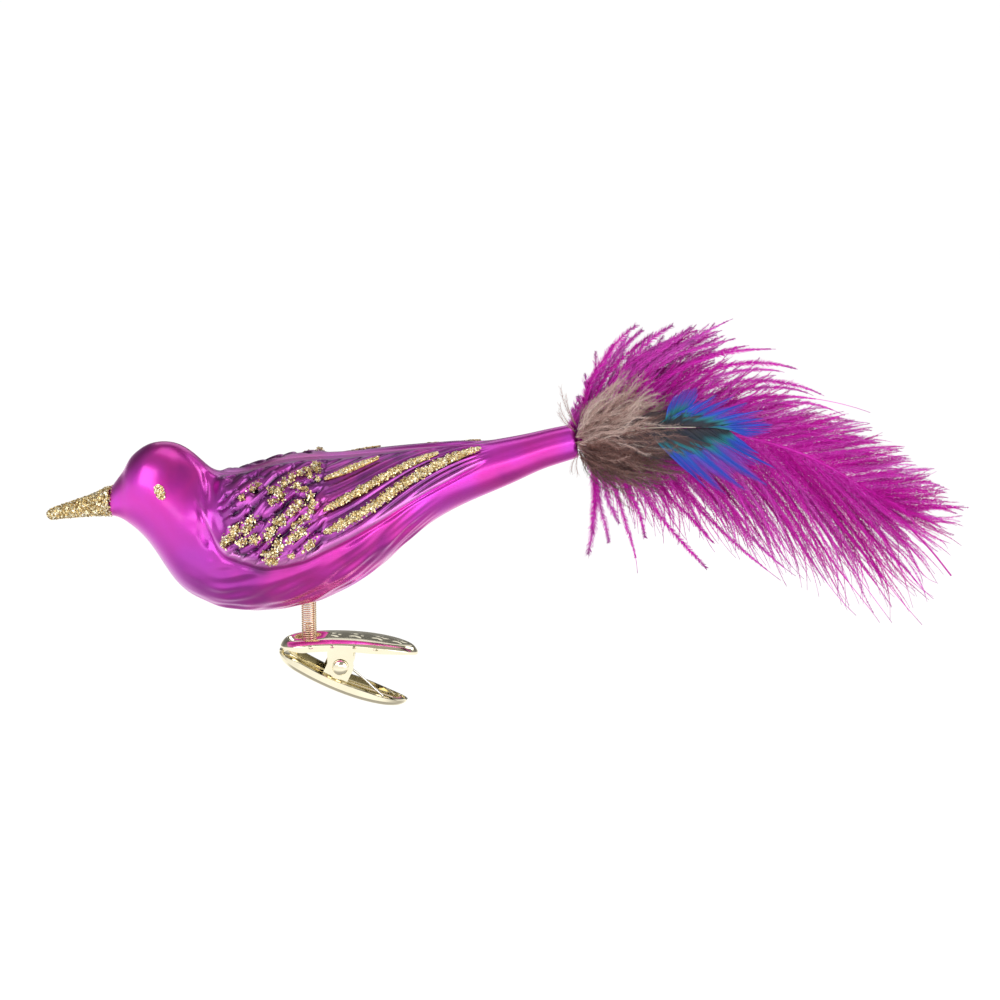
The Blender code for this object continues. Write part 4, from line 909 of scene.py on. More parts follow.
def jaw(name, ears_in, dish, stars):
    pivot_x = PIVOT[0] - NOSE_X
    pivot_z = PIVOT[1]
    ear_x = [pivot_x + EAR_R * math.sin(a) for a in np.radians(np.linspace(-90, 90, 31))]
    nose_x = [4.6 * (1 - math.cos(a)) for a in np.radians(np.linspace(5, 80, 18))]
    mid_x = list(np.linspace(4.6, ear_x[0], 16)[:-1])
    back_x = list(np.linspace(ear_x[-1], 21.4, 28)[1:]) + list(JAW_L - 5.7 * (1 - np.sin(np.radians(np.linspace(5, 84, 22)))) )
    side_xs = nose_x + mid_x + ear_x + back_x
    side_xs = nose_x + mid_x + ear_x + sorted(back_x)
    outline = [(0.0, 0.0)] + [(x, plan_half(x)) for x in side_xs] + [(JAW_L, 0.0)] + [(x, -plan_half(x)) for x in side_xs[::-1]]
    n = len(outline)
    cx = np.array([min(max(x, 4.6), 23.5) for x, y in outline])
    bm = bmesh.new()

    def ring(inset, drop):
        pts = []
        for k, (x, y) in enumerate(outline):
            v = Vector((x - cx[k], y))
            size = v.length
            f = max(0.0, (size - inset)) / size if size > 1e-6 else 0.0
            px, py = cx[k] + v.x * f, v.y * f
            pts.append((px, py, drop(px, py)))
        return pts

    def ring_verts(points):
        return [bm.verts.new(Vector(p) * MM) for p in points]

    def back(px, py):
        z = crest(px) + 0.25 * (1 - (py / JAW_HALF) ** 2)
        if dish:
            d = ((px - DISH[0]) / 4.6) ** 2 + (py / 3.3) ** 2
            z -= (DISH[1] + 0.25) * float(1 - smoothstep(0.45, 1.0, d))
        for sx, sr in stars:
            if abs(px - sx) < 2.6:
                z += 0.07 * star_line(px, py, sx, sr)
        return z - 0.25

    def shoulder(inset):
        """Rounded fold between wall and back: height below the back's edge for an inset from 0 to 1.25."""
        s = min(inset / 1.25, 1.0)
        return 0.80 * (1 - s) ** 2.4

    def notch(x, z_frac):
        """Small pressed nicks along the fold."""
        return sum(0.12 * math.exp(-((x - NOSE_X - a) / 0.16) ** 2) for a in (6.2, 10.4, 14.8, 19.0)) * z_frac if stars else 0.0

    rim_z = [crest(x) - 0.35 - wall_height(x) for x, y in outline]
    rim = ring_verts([(x, y, rim_z[k]) for k, (x, y) in enumerate(outline)])
    rings = [rim]
    for f in (0.12, 0.3, 0.5, 0.7, 0.88, 1.0):
        pts = []
        for k, (x, y) in enumerate(outline):
            z1 = crest(x) - 1.05
            z = rim_z[k] + (z1 - rim_z[k]) * f
            pts.append((x, y, z))
        rings.append(ring_verts(pts))
    for inset in (0.0, 0.04, 0.12, 0.25, 0.42, 0.62, 0.85, 1.08):
        rings.append(ring_verts(ring(inset + 0.0, lambda a, b, i=inset: crest(a) - 0.25 + 0.25 * (1 - (abs(b) / JAW_HALF) ** 2) * min(1, i / 1.25)
                                     - shoulder(i) - notch(a + NOSE_X, 1 - i / 1.25))))
    for inset in np.linspace(1.3, 4.35, 20):
        rings.append(ring_verts(ring(inset, back)))
    for a, b in zip(rings[:-1], rings[1:]):
        for i in range(n):
            j = (i + 1) % n
            bm.faces.new((a[i], a[j], b[j], b[i]))
    last = rings[-1]
    half = n // 2
    for k in range(0, half):
        quad = []
        for v in (last[k], last[(k + 1) % n], last[(n - k - 1) % n], last[(n - k) % n]):
            if v not in quad:
                quad.append(v)
        if len(quad) >= 3:
            bm.faces.new(quad)
    step = 0.0 if not ears_in else TIN + GAP + 0.05
    first = 1 + len(nose_x) + len(mid_x)
    for side in (0, 1):
        cols = [first + i for i in range(len(ear_x))]
        if side:
            cols = [(n - c) % n for c in cols]
        sgn = -1 if side else 1
        rows = [[rim[c] for c in cols]]
        if step:
            for f in (0.3, 0.7, 1.0):
                s = float(smoothstep(0, 1, f))
                rows.append(ring_verts([(outline[c][0], sgn * (plan_half(outline[c][0]) - step * s), rim_z[c] - 0.55 * f)
                                        for c in cols]))
        deep = [pivot_z - math.sqrt(max(0.0, EAR_R ** 2 - (outline[c][0] - pivot_x) ** 2)) for c in cols]
        for f in (0.25, 0.5, 0.75, 1.0):
            pts = []
            for i, c in enumerate(cols):
                top = rim_z[c] - (0.55 if step else 0.0)
                pts.append((outline[c][0], sgn * (plan_half(outline[c][0]) - step), top + (deep[i] - top) * f))
            rows.append(ring_verts(pts))
        for a, b in zip(rows[:-1], rows[1:]):
            for i in range(len(a) - 1):
                bm.faces.new((a[i], a[i + 1], b[i + 1], b[i]))
    bmesh.ops.remove_doubles(bm, verts=bm.verts[:], dist=1e-7)
    bmesh.ops.recalc_face_normals(bm, faces=bm.faces[:])
    if sum((f.normal.z * f.calc_area() for f in bm.faces), 0.0) < 0:
        bmesh.ops.reverse_faces(bm, faces=bm.faces[:])
    me = bpy.data.meshes.new(name)
    bm.to_mesh(me)
    bm.free()
    return me


def finish_jaw(name, me, matrix, node, cuts):
    me.transform(matrix)
    me.shade_smooth()
    ob = bpy.data.objects.new(name, me)
    scene.collection.objects.link(ob)
    solid = ob.modifiers.new("tin", "SOLIDIFY")
    solid.thickness = TIN * MM
    solid.offset = -1.0
    solid.use_even_offset = False
    cutters = []
    for radius, length, centre, axis in cuts:
        bm = bmesh.new()
        bmesh.ops.create_cone(bm, cap_ends=True, segments=48, radius1=radius * MM, radius2=radius * MM, depth=length * MM)
        if axis == "Y":
            bmesh.ops.rotate(bm, verts=bm.verts[:], cent=(0, 0, 0), matrix=Matrix.Rotation(math.pi / 2, 3, "X"))
        bmesh.ops.translate(bm, verts=bm.verts[:], vec=Vector(centre) * MM)
        cm = bpy.data.meshes.new("cut")
        bm.to_mesh(cm)
        bm.free()
        co = bpy.data.objects.new("cut", cm)
        scene.collection.objects.link(co)
        cutters.append(co)
        mod = ob.modifiers.new("cut", "BOOLEAN")
        mod.object = co
        mod.operation = "DIFFERENCE"
    bpy.context.view_layer.update()
    dg = bpy.context.evaluated_depsgraph_get()
    final = bpy.data.meshes.new_from_object(ob.evaluated_get(dg))
    bpy.data.objects.remove(ob, do_unlink=True)
    for co in cutters:
        bpy.data.objects.remove(co, do_unlink=True)
    final.name = name
    final.shade_smooth()
    final.set_sharp_from_angle(angle=math.radians(38))
    return final


STARS = [(10.06 - NOSE_X, 1.45), (14.5 - NOSE_X, 1.45), (18.8 - NOSE_X, 1.35), (22.7 - NOSE_X, 1.15)]
up_me = finish_jaw("jaw_upper_tin", jaw("ju", False, True, STARS), Matrix.Translation(Vector((NOSE_X, 0, 0)) * MM),
                   "clip_upper_jaw",
                   [(PIN_R + 0.2, 16.0, (PIVOT[0], 0, PIVOT[1]), "Y"), (0.75 + GAP, 4.0, (LEG_X, 0, 1.5), "Z")])
add_piece("jaw_upper_tin", up_me, gold, "clip_upper", ["clip_upper_jaw"])

low_raw = jaw("jl", True, False, [])
mtx = (Matrix.Translation(Vector((PIVOT[0], 0, PIVOT[1])) * MM) @ Matrix.Rotation(math.radians(-LOWER_TILT), 4, "Y")
       @ Matrix.Scale(-1.0, 4, (0, 0, 1)) @ Matrix.Translation(Vector((NOSE_X - PIVOT[0], 0, -PIVOT[1])) * MM))
low_raw.transform(mtx)
low_raw.flip_normals()
low_me = finish_jaw("jaw_lower_tin", low_raw, Matrix.Identity(4), "clip_lower_jaw",
                    [(PIN_R + 0.2, 16.0, (PIVOT[0], 0, PIVOT[1]), "Y")])
add_piece("jaw_lower_tin", low_me, gold, "clip_lower", ["clip_lower_jaw"])


def turned(name, profile, centre, axis, mat, body, nodes, steps=72):
    """profile: (radius, height) from one end of the axis to the other, turned round it in steps."""
    pr = np.array(profile, float)
    ang = np.arange(steps) * 2 * math.pi / steps
    ring = np.stack([pr[:, None, 0] * np.cos(ang), pr[:, None, 0] * np.sin(ang), np.repeat(pr[:, 1:], steps, 1)], -1)
    if axis == "Y":
        ring = np.stack([ring[..., 0], ring[..., 2], ring[..., 1]], -1)
    verts = ring.reshape(-1, 3) + np.array(centre)
    me = build_mesh(name, verts, [grid_faces(len(pr), steps)])
    bm = bmesh.new()
    bm.from_mesh(me)
    bmesh.ops.remove_doubles(bm, verts=bm.verts[:], dist=1e-7)
    bmesh.ops.recalc_face_normals(bm, faces=bm.faces[:])
    bm.to_mesh(me)
    bm.free()
    me.shade_smooth()
    me.set_sharp_from_angle(angle=math.radians(35))
    return add_piece(name, me, mat, body, nodes)


HEAD_Y = JAW_HALF + GAP
dome = [(1.55 * math.sin(a), HEAD_Y + 0.12 + 0.83 * math.cos(a)) for a in np.radians(np.linspace(0, 90, 14))]
profile = dome + [(1.55, HEAD_Y), (PIN_R, HEAD_Y)]
profile = profile + [(r_, -h_) for r_, h_ in profile[::-1]]
turned("pin_polished", profile, (PIVOT[0], 0, PIVOT[1]), "Y", gold, "clip_upper", ["pivot_rivet"])
turned("post_polished", [(0.0, 5.2), (0.45, 5.2), (0.62, 5.12), (0.72, 4.96), (0.75, 4.75), (0.75, 0.75), (1.18, 0.7),
                         (1.25, 0.62), (1.25, 0.38), (1.15, 0.22), (0.9, 0.1), (0.5, 0.05), (0.0, 0.05)],
       (LEG_X, 0, 0), "Z", steel, "leg_post", ["spring_post"])


def torsion_spring():
    """Coil round the pin. The coil and its upper leg go with the upper jaw, the lower leg with the lower one."""
    wire, coil_r, pitch = 0.45, 1.5, 0.62
    turns = 3.5
    y0 = -turns * pitch / 2
    px, pz = PIVOT
    start = math.radians(100)
    top_leg = line_points([(px + 8.0, y0, 1.1), (px + 5.5, y0, 0.75), (px + 3.0, y0, 0.1), (px + 1.2, y0, -0.6),
                           (px + 0.1, y0 + 0.02, pz + 1.45)], 24)
    a = start + np.linspace(0, turns * 2 * math.pi, 120)
    coil = np.stack([px + coil_r * np.cos(a), y0 + pitch * (a - start) / (2 * math.pi), pz + coil_r * np.sin(a)], -1)
    path = np.vstack([top_leg[:-1], coil[1:]])
    v1, q1, t1 = tube(path, wire / 2, 12)
    me = build_mesh("torsion_coil", v1, [q1, t1])
    add_piece("torsion_coil", me, steel, "clip_upper", ["jaw_spring"])
    end_y = y0 + pitch * turns
    p0 = tuple(coil[-1])
    low = line_points([p0, (px + 1.4, end_y, -4.2), (px + 3.8, end_y, -6.0), (px + 6.3, end_y, -8.4), (px + 8.2, end_y, -10.2)], 30)
    v2, q2, t2 = tube(low, wire / 2 - 0.001, 12)
    me = build_mesh("torsion_leg", v2, [q2, t2])
    add_piece("torsion_leg", me, steel, "clip_lower", ["jaw_spring"])


torsion_spring()

# ==== feathers =================================================================================
plume, nt, bsdf = new_material("magenta_plume", Roughness=0.65, Specular_IOR_Level=0.12)
base_c = ramp(nt, attr(nt, "tone"), [(0.0, (0.74, 0.008, 0.47)), (0.5, (0.92, 0.028, 0.68)), (1.0, (0.96, 0.17, 0.84))])
tip_c = ramp(nt, attr(nt, "along"), [(0.0, (0, 0, 0)), (0.84, (0.04, 0.04, 0.04)), (1.0, (0.7, 0.7, 0.7))])
n_str = noise(nt, 900, 2)
base_c = mix_colour(nt, remap(nt, n_str.outputs["Fac"], 0.0, 0.18, 0.3, 0.8), base_c, (0.52, 0.010, 0.34))
nt.links.new(mix_colour(nt, tip_c, base_c, (0.32, 0.12, 0.30)), bsdf.inputs["Base Color"])

shaft, nt, bsdf = new_material("dyed_quill", Roughness=0.5, Specular_IOR_Level=0.25)
nt.links.new(ramp(nt, noise(nt, 260, 3).outputs["Fac"], [(0.3, (0.50, 0.008, 0.34)), (0.7, (0.62, 0.02, 0.44))]), bsdf.inputs["Base Color"])

grey, nt, bsdf = new_material("grey_down_hair", Roughness=0.7, Sheen_Weight=0.2)
c1 = ramp(nt, attr(nt, "tone"), [(0.0, (0.10, 0.032, 0.025)), (0.40, (0.31, 0.13, 0.105)), (0.75, (0.62, 0.38, 0.33)), (1.0, (0.90, 0.70, 0.63))])
nt.links.new(mix_colour(nt, remap(nt, attr(nt, "along"), 0.0, 0.55, 0.45, 1.0), c1, (0.12, 0.050, 0.045)), bsdf.inputs["Base Color"])

blue, nt, bsdf = new_material("blue_accent_barbs", Roughness=0.40, Specular_IOR_Level=0.5)
c1 = ramp(nt, attr(nt, "along"), [(0.0, (0.15, 0.085, 0.070)), (0.28, (0.045, 0.036, 0.038)), (0.40, (0.020, 0.035, 0.040)),
                                  (0.50, (0.025, 0.26, 0.30)), (0.62, (0.035, 0.12, 0.70)), (0.88, (0.065, 0.075, 0.72)),
                                  (1.0, (0.24, 0.045, 0.52))])
nt.links.new(mix_colour(nt, remap(nt, attr(nt, "tone"), 0.0, 0.30), c1, (0.015, 0.03, 0.14)), bsdf.inputs["Base Color"])


def barb(soup, path, r_root, r_tip, fuzz, spacing, tone, rng, along0=0.0, sides=3, fuzz_from=0.0, bare=0.0, flat=0.5,
         width=0.075, lean=0.62, along1=1.0):
    """One barb: a thin tapering shaft with two rows of slender barbules leaning towards its tip.
    fuzz is the barbules' length over the barb, as a function of 0..1."""
    seg = np.diff(path, axis=0)
    length = float(np.linalg.norm(seg, axis=1).sum())
    n = len(path)
    s = np.linspace(0, 1, n)
    rad = r_root + (r_tip - r_root) * s
    v, q, t = tube(path, rad, sides)
    al = along0 + (along1 - along0) * s
    soup.add(v, q, t, a=np.concatenate([np.repeat(al, sides), al[:1], al[-1:]]), b=tone)
    m = max(2, int(length / spacing))
    u = np.linspace(fuzz_from, 1.0 - bare, m) + rng.uniform(-0.4, 0.4, m) / m
    u = np.clip(u, 0, 1)
    k = u * (n - 1)
    i = np.minimum(k.astype(int), n - 2)
    f = (k - i)[:, None]
    p = path[i] * (1 - f) + path[i + 1] * f
    tan, a, b = tube_frames(path)
    tan, a, b = tan[i], a[i], b[i]
    lens = fuzz(u) * rng.uniform(0.7, 1.2, m)
    for sgn in (-1.0, 1.0):
        roll = rng.normal(0, flat, m)
        out = sgn * (a * np.cos(roll)[:, None] + b * np.sin(roll)[:, None])
        ln = lean * rng.uniform(0.8, 1.25, m)
        d = tan * np.cos(ln)[:, None] + out * np.sin(ln)[:, None]
        d2 = tan * np.cos(ln * 0.6)[:, None] + out * np.sin(ln * 0.6)[:, None]
        side_v = np.cross(d, out)
        side_v /= np.linalg.norm(side_v, axis=1, keepdims=True) + 1e-9
        w = width * rng.uniform(0.8, 1.2, m)[:, None]
        root = p + rng.uniform(-0.03, 0.03, (m, 1))
        tip = p + d * (0.5 * lens)[:, None] + d2 * (0.5 * lens)[:, None]
        vv = np.stack([root + tan * w * 0.7, root - tan * w * 0.7, tip + (side_v * 0.30 + tan * 0.22) * w,
                       tip - (side_v * 0.30 + tan * 0.22) * w], 1).reshape(-1, 3)
        one = np.array([[0, 1, 2], [0, 3, 1], [1, 3, 2], [2, 3, 0]])
        tr = (one[None] + 4 * np.arange(m)[:, None, None]).reshape(-1, 3)
        aa = np.repeat(along0 + (along1 - along0) * u, 4)
        soup.add(vv, None, tr, a=aa, b=np.repeat(np.clip(tone + rng.normal(0, 0.07, m), 0, 1), 4))


def bezier(p0, p1, p2, n):
    s = np.linspace(0, 1, n)[:, None]
    return (1 - s) ** 2 * p0 + 2 * s * (1 - s) * p1 + s * s * p2


def wander(path, rng, amount):
    """Bends a barb slightly off its line, more towards its tip."""
    n = len(path)
    s = np.linspace(0, 1, n)
    for k in range(3):
        ph, fr = rng.uniform(0, 6.28), rng.uniform(0.7, 2.6)
        path[:, k] += amount * (s ** 1.4) * np.sin(fr * math.pi * s + ph) * (0.6 if k == 1 else 1.0)
    return path


LONG_QUILL = [(50.5, 0.0, 40.6), (54.0, 0.0, 41.6), (58.0, 0.0, 42.6), (64.0, 0.0, 43.2), (72.0, 0.0, 43.8),
              (80.0, 0.0, 43.8), (88.0, 0.0, 43.0), (97.0, 0.0, 40.8), (106.0, 0.0, 37.0), (114.0, 0.0, 31.8),
              (121.0, 0.0, 26.0), (127.0, 0.0, 19.8), (131.0, 0.0, 14.8)]
SHORT_QUILL = [(50.5, 0.65, 39.55), (54.0, 0.65, 40.5), (57.5, 1.2, 41.6), (60.0, 2.6, 44.0), (62.5, 4.2, 48.5),
               (65.5, 5.2, 53.0), (70.0, 5.8, 57.4), (75.5, 6.0, 60.6), (81.0, 6.0, 62.6)]
ACCENT_QUILL = [(50.5, -0.65, 39.6), (54.0, -0.65, 40.55), (57.3, -1.2, 41.3), (58.5, -3.2, 41.8), (59.8, -5.6, 42.4),
                (62.0, -6.7, 43.5), (66.0, -7.0, 45.0), (72.0, -7.0, 45.9), (78.0, -7.0, 46.0), (84.0, -7.0, 45.9),
                (90.0, -7.0, 45.7)]


def quill(name, points, radius, tip, mat, node, n=60, sides=12):
    path = line_points(points, n)
    s = np.linspace(0, 1, n)
    v, q, t = tube(path, radius * (1 - (1 - tip) * s), sides)
    me = build_mesh(name, v, [q, t])
    add_piece(name, me, mat, "bird", [node])
    return path


long_path = quill("long_plume_shaft", LONG_QUILL, 0.5, 0.3, shaft, "long_plume_quill")
short_path = quill("short_plume_shaft", SHORT_QUILL, 0.45, 0.3, shaft, "short_plume_quill")


def plume_side(soup, path, roots, tips, count, rng, bow, y_spread, fuzz_len, spacing, n=26, along1=1.0, thin=0.0,
               bare=(0.0, 0.08), length_var=0.10, tone=(0.05, 0.9), y_lean=0.0, r_root=0.075, y_min=-4.5, inner=0.0, width=0.10,
               clumps=0, wave=0.075, lead=0.15, flat=0.8, lean=0.78):
    """Barbs from roots (share of the quill's length) to tips (x, z), both as polylines over 0..1 along the vane.
    bow is how far a barb's middle stands off its chord, away from the quill's line; inner shortens some barbs."""
    rp = np.array(roots, float)
    tp = np.array(tips, float)
    ts_ = np.concatenate([[0], np.cumsum(np.linalg.norm(np.diff(tp, axis=0), axis=1))])
    ts_ /= ts_[-1]
    for i in range(count):
        v = float(np.clip((i + rng.uniform(-0.4, 1.4)) / count, 0, 1))
        rv = float(np.interp(v, np.linspace(0, 1, len(rp)), rp)) + rng.normal(0, 0.008)
        k = float(np.clip(rv, 0.06, 0.99)) * (len(path) - 1)
        j = min(int(k), len(path) - 2)
        root = path[j] * (1 - (k - j)) + path[j + 1] * (k - j)
        tan = path[j + 1] - path[j]
        tan = tan / np.linalg.norm(tan)
        vt, shade = v, 0.0
        if clumps:
            ph = v * clumps + 0.35 * math.sin(5.1 * v * clumps / 2.3)
            vt = float(np.clip(v - 0.105 * math.sin(2 * math.pi * ph) / clumps, 0, 1))
            shade = 0.18 * math.sin(1.7 * math.floor(ph) + 2.0)
        tip = np.array([np.interp(vt, ts_, tp[:, 0]), 0.0, np.interp(vt, ts_, tp[:, 1])])
        f = 1 - abs(rng.normal(0, length_var)) - (inner * rng.uniform(0, 1) ** 2)
        tip = root + (tip - root) * f
        tip[1] = max(root[1] + rng.normal(0, 1) * y_spread + y_lean, y_min)
        out = tip - root
        span = np.linalg.norm(out)
        nrm = out - tan * float(out @ tan)
        nrm[1] = 0.0
        nrm = nrm / (np.linalg.norm(nrm) + 1e-9)
        ctrl = root + 0.40 * out + tan * span * lead * rng.uniform(0.5, 1.5) + nrm * span * bow * rng.uniform(0.4, 1.6)
        p = bezier(root, ctrl, tip, n)
        p = wander(p, rng, wave * span ** 0.8)
        b0 = rng.uniform(*bare)
        fl = fuzz_len * rng.uniform(0.8, 1.15)
        barb(soup, p, r_root, 0.05, lambda u, fl=fl, b0=b0: fl * (1.0 - thin * smoothstep(0.25, 0.95, u)) * smoothstep(-0.12, 0.03, u)
             * (1 - 0.55 * smoothstep(0.80, 1.0, u / (1 - b0))),
             spacing, float(np.clip(rng.uniform(*tone) + shade, 0, 1)), rng, bare=b0, along1=along1, width=width, flat=flat, lean=lean)


rng = np.random.default_rng(77)
UPPER_TIPS = [(66.0, 56.0), (74.0, 58.5), (82.0, 59.5), (90.0, 58.5), (97.0, 55.0), (104.0, 50.5), (111.0, 46.4), (117.0, 43.0),
              (123.0, 39.0), (128.6, 34.8), (131.4, 31.0), (134.2, 27.4)]
UPPER_ROOTS = (0.10, 0.16, 0.24, 0.36, 0.50, 0.66, 0.80)
for part in range(3):
    up = Soup()
    cut_t = line_points(UPPER_TIPS, 61)[20 * part:20 * part + 21]
    cut_r = np.interp(np.linspace(part / 3, (part + 1) / 3, 9), np.linspace(0, 1, len(UPPER_ROOTS)), UPPER_ROOTS)
    plume_side(up, long_path, cut_r, cut_t, 132, rng, 0.13, 2.4, 1.20, 0.215, thin=0.45, bare=(0.0, 0.10), inner=0.45, y_lean=0.8,
               clumps=7)
    add_piece(f"long_plume_upper_barbs_{part + 1}", up.mesh(f"long_plume_upper_barbs_{part + 1}"), plume, "bird",
              ["long_plume_upper_vane"] if part == 0 else [])
LOWER_TIPS = [(64.0, 28.0), (69.0, 24.0), (76.0, 22.0), (84.0, 20.0), (92.0, 17.5), (99.0, 14.0), (106.0, 10.0), (112.7, 7.0),
              (118.5, 5.6), (125.0, 5.4), (128.2, 9.9), (131.0, 14.5), (132.8, 20.4), (134.2, 25.5)]
LOWER_ROOTS = (0.08, 0.12, 0.17, 0.25, 0.35, 0.48, 0.62, 0.78)
for part in range(3):
    lo = Soup()
    cut_t = line_points(LOWER_TIPS, 61)[20 * part:20 * part + 21]
    cut_r = np.interp(np.linspace(part / 3, (part + 1) / 3, 9), np.linspace(0, 1, len(LOWER_ROOTS)), LOWER_ROOTS)
    plume_side(lo, long_path, cut_r, cut_t, 128, rng, 0.05, 2.6, 1.10, 0.22, thin=0.60, bare=(0.0, 0.14), inner=0.42, n=30, y_lean=0.8,
               clumps=7, lead=0.24)
    add_piece(f"long_plume_lower_barbs_{part + 1}", lo.mesh(f"long_plume_lower_barbs_{part + 1}"), plume, "bird",
              ["long_plume_lower_vane"] if part == 0 else [])

# short plume: fluffy, blunt barbs at the upper left, and its right-hand vane
sh = Soup()
LEFT_TIPS = [(59.0, 47.5), (57.9, 51.0), (58.7, 53.3), (60.0, 57.0), (62.5, 60.0), (66.0, 62.0), (69.1, 64.3), (71.5, 62.5),
             (75.0, 64.3), (77.5, 63.6), (79.3, 63.7), (80.5, 61.5)]
plume_side(sh, short_path, (0.10, 0.16, 0.24, 0.38, 0.56), LEFT_TIPS, 46, rng, 0.16, 1.6, 1.30, 0.17, thin=0.10, bare=(0.0, 0.0),
           length_var=0.06, tone=(0.60, 1.1), inner=0.75, y_min=-3.0, width=0.12, clumps=6)
add_piece("short_plume_left_barbs", sh.mesh("short_plume_left_barbs"), plume, "bird", ["short_plume_left_vane"])
sr = Soup()
RIGHT_TIPS = [(68.0, 47.0), (74.0, 50.0), (80.0, 54.0), (86.0, 58.0), (89.5, 61.5), (86.0, 63.5), (82.0, 64.0)]
plume_side(sr, short_path, (0.10, 0.20, 0.34, 0.52, 0.70), RIGHT_TIPS, 88, rng, 0.12, 2.0, 1.25, 0.18, thin=0.30, bare=(0.0, 0.06),
           tone=(0.1, 0.9), inner=0.55, y_min=-2.0, width=0.11, clumps=6)
add_piece("short_plume_right_barbs", sr.mesh("short_plume_right_barbs"), plume, "bird", ["short_plume_right_vane"])

# single stray barbs that stand out of the plumes: root, bend, tip (x, z), barbule length, share left bare
STRAYS = [
    ((58.8, 45.5), (58.0, 57.2), (69.2, 64.4), 1.25, 0.0), ((59.4, 46.0), (60.2, 56.6), (69.8, 62.6), 1.2, 0.0),
    ((60.0, 46.5), (62.0, 57.2), (71.6, 61.9), 1.2, 0.0), ((61.0, 46.5), (64.0, 56.0), (73.0, 60.0), 1.2, 0.0),
    ((61.5, 47.0), (65.0, 58.4), (76.2, 63.9), 1.25, 0.0), ((62.5, 47.5), (67.0, 57.6), (76.4, 62.0), 1.2, 0.0),
    ((63.0, 48.0), (68.5, 58.8), (79.6, 64.1), 1.25, 0.0), ((64.0, 48.0), (70.0, 57.4), (80.2, 62.0), 1.2, 0.0),
    ((64.0, 50.0), (74.0, 60.0), (87.3, 64.9), 0.9, 0.04), ((66.0, 50.0), (76.0, 60.5), (87.5, 62.1), 0.95, 0.02),
    ((68.0, 50.0), (82.0, 61.5), (95.4, 60.2), 0.9, 0.04), ((69.0, 50.0), (80.0, 60.0), (91.0, 60.0), 0.9, 0.05),
    ((70.0, 49.5), (86.0, 60.0), (99.6, 56.0), 1.0, 0.02), ((72.0, 49.0), (85.0, 57.5), (97.5, 55.0), 0.9, 0.05),
    ((74.0, 48.5), (92.0, 58.5), (105.8, 49.9), 0.95, 0.03), ((76.0, 48.0), (90.0, 55.0), (103.0, 49.8), 0.9, 0.05),
    ((80.0, 47.0), (97.0, 54.0), (114.2, 46.7), 0.7, 0.3), ((82.0, 46.5), (98.0, 52.0), (110.0, 46.5), 0.8, 0.1),
    ((59.5, 40.0), (62.6, 29.5), (60.2, 19.6), 1.35, 0.0), ((60.0, 40.0), (61.6, 31.0), (60.9, 24.0), 1.2, 0.0),
    ((60.8, 40.0), (62.0, 30.0), (63.4, 21.6), 1.1, 0.0), ((61.5, 40.0), (63.2, 31.0), (65.4, 25.0), 1.15, 0.0),
    ((62.5, 39.5), (67.3, 28.0), (69.1, 15.4), 0.95, 0.12), ((63.5, 39.5), (69.0, 29.0), (71.5, 22.4), 1.0, 0.0),
    ((66.0, 38.0), (74.0, 26.0), (82.4, 16.8), 0.9, 0.0), ((70.0, 38.0), (79.0, 25.5), (84.8, 21.5), 0.9, 0.05),
    ((72.0, 38.5), (84.0, 24.0), (98.2, 14.0), 0.75, 0.1), ((76.0, 38.5), (88.0, 25.0), (101.2, 14.1), 0.75, 0.1),
    ((92.0, 34.0), (103.0, 18.0), (112.8, 6.3), 0.45, 0.30), ((98.0, 32.0), (108.0, 17.0), (116.8, 5.0), 0.45, 0.35),
    ((100.0, 32.0), (110.5, 18.0), (119.2, 5.5), 0.45, 0.35), ((106.0, 29.0), (117.0, 15.0), (125.2, 5.0), 0.45, 0.35),
    ((110.0, 28.0), (121.0, 16.0), (128.4, 9.8), 0.5, 0.25),
]
st = Soup()
for k, (p0, p1, p2, fz, bare) in enumerate(STRAYS):
    y0, y1 = rng.uniform(-1.0, 2.0), rng.uniform(-2.5, 3.5)
    path = bezier(np.array([p0[0], y0, p0[1]]), np.array([p1[0], 0.5 * (y0 + y1), p1[1]]), np.array([p2[0], y1, p2[1]]), 34)
    path = wander(path, rng, 0.55)
    barb(st, path, 0.12, 0.07, lambda u, fz=fz, bare=bare: 1.15 * fz * (1 - 0.20 * u) * smoothstep(-0.05, 0.05, u)
         * (1 - (0.30 + 0.30 * (bare > 0)) * smoothstep(0.72, 1.0, u / (1 - bare))), 0.125,
         float(rng.uniform(0.45, 0.95)), rng, bare=bare, width=0.14, lean=0.88, flat=0.6)
add_piece("plume_stray_barbs", st.mesh("plume_stray_barbs"), plume, "bird")

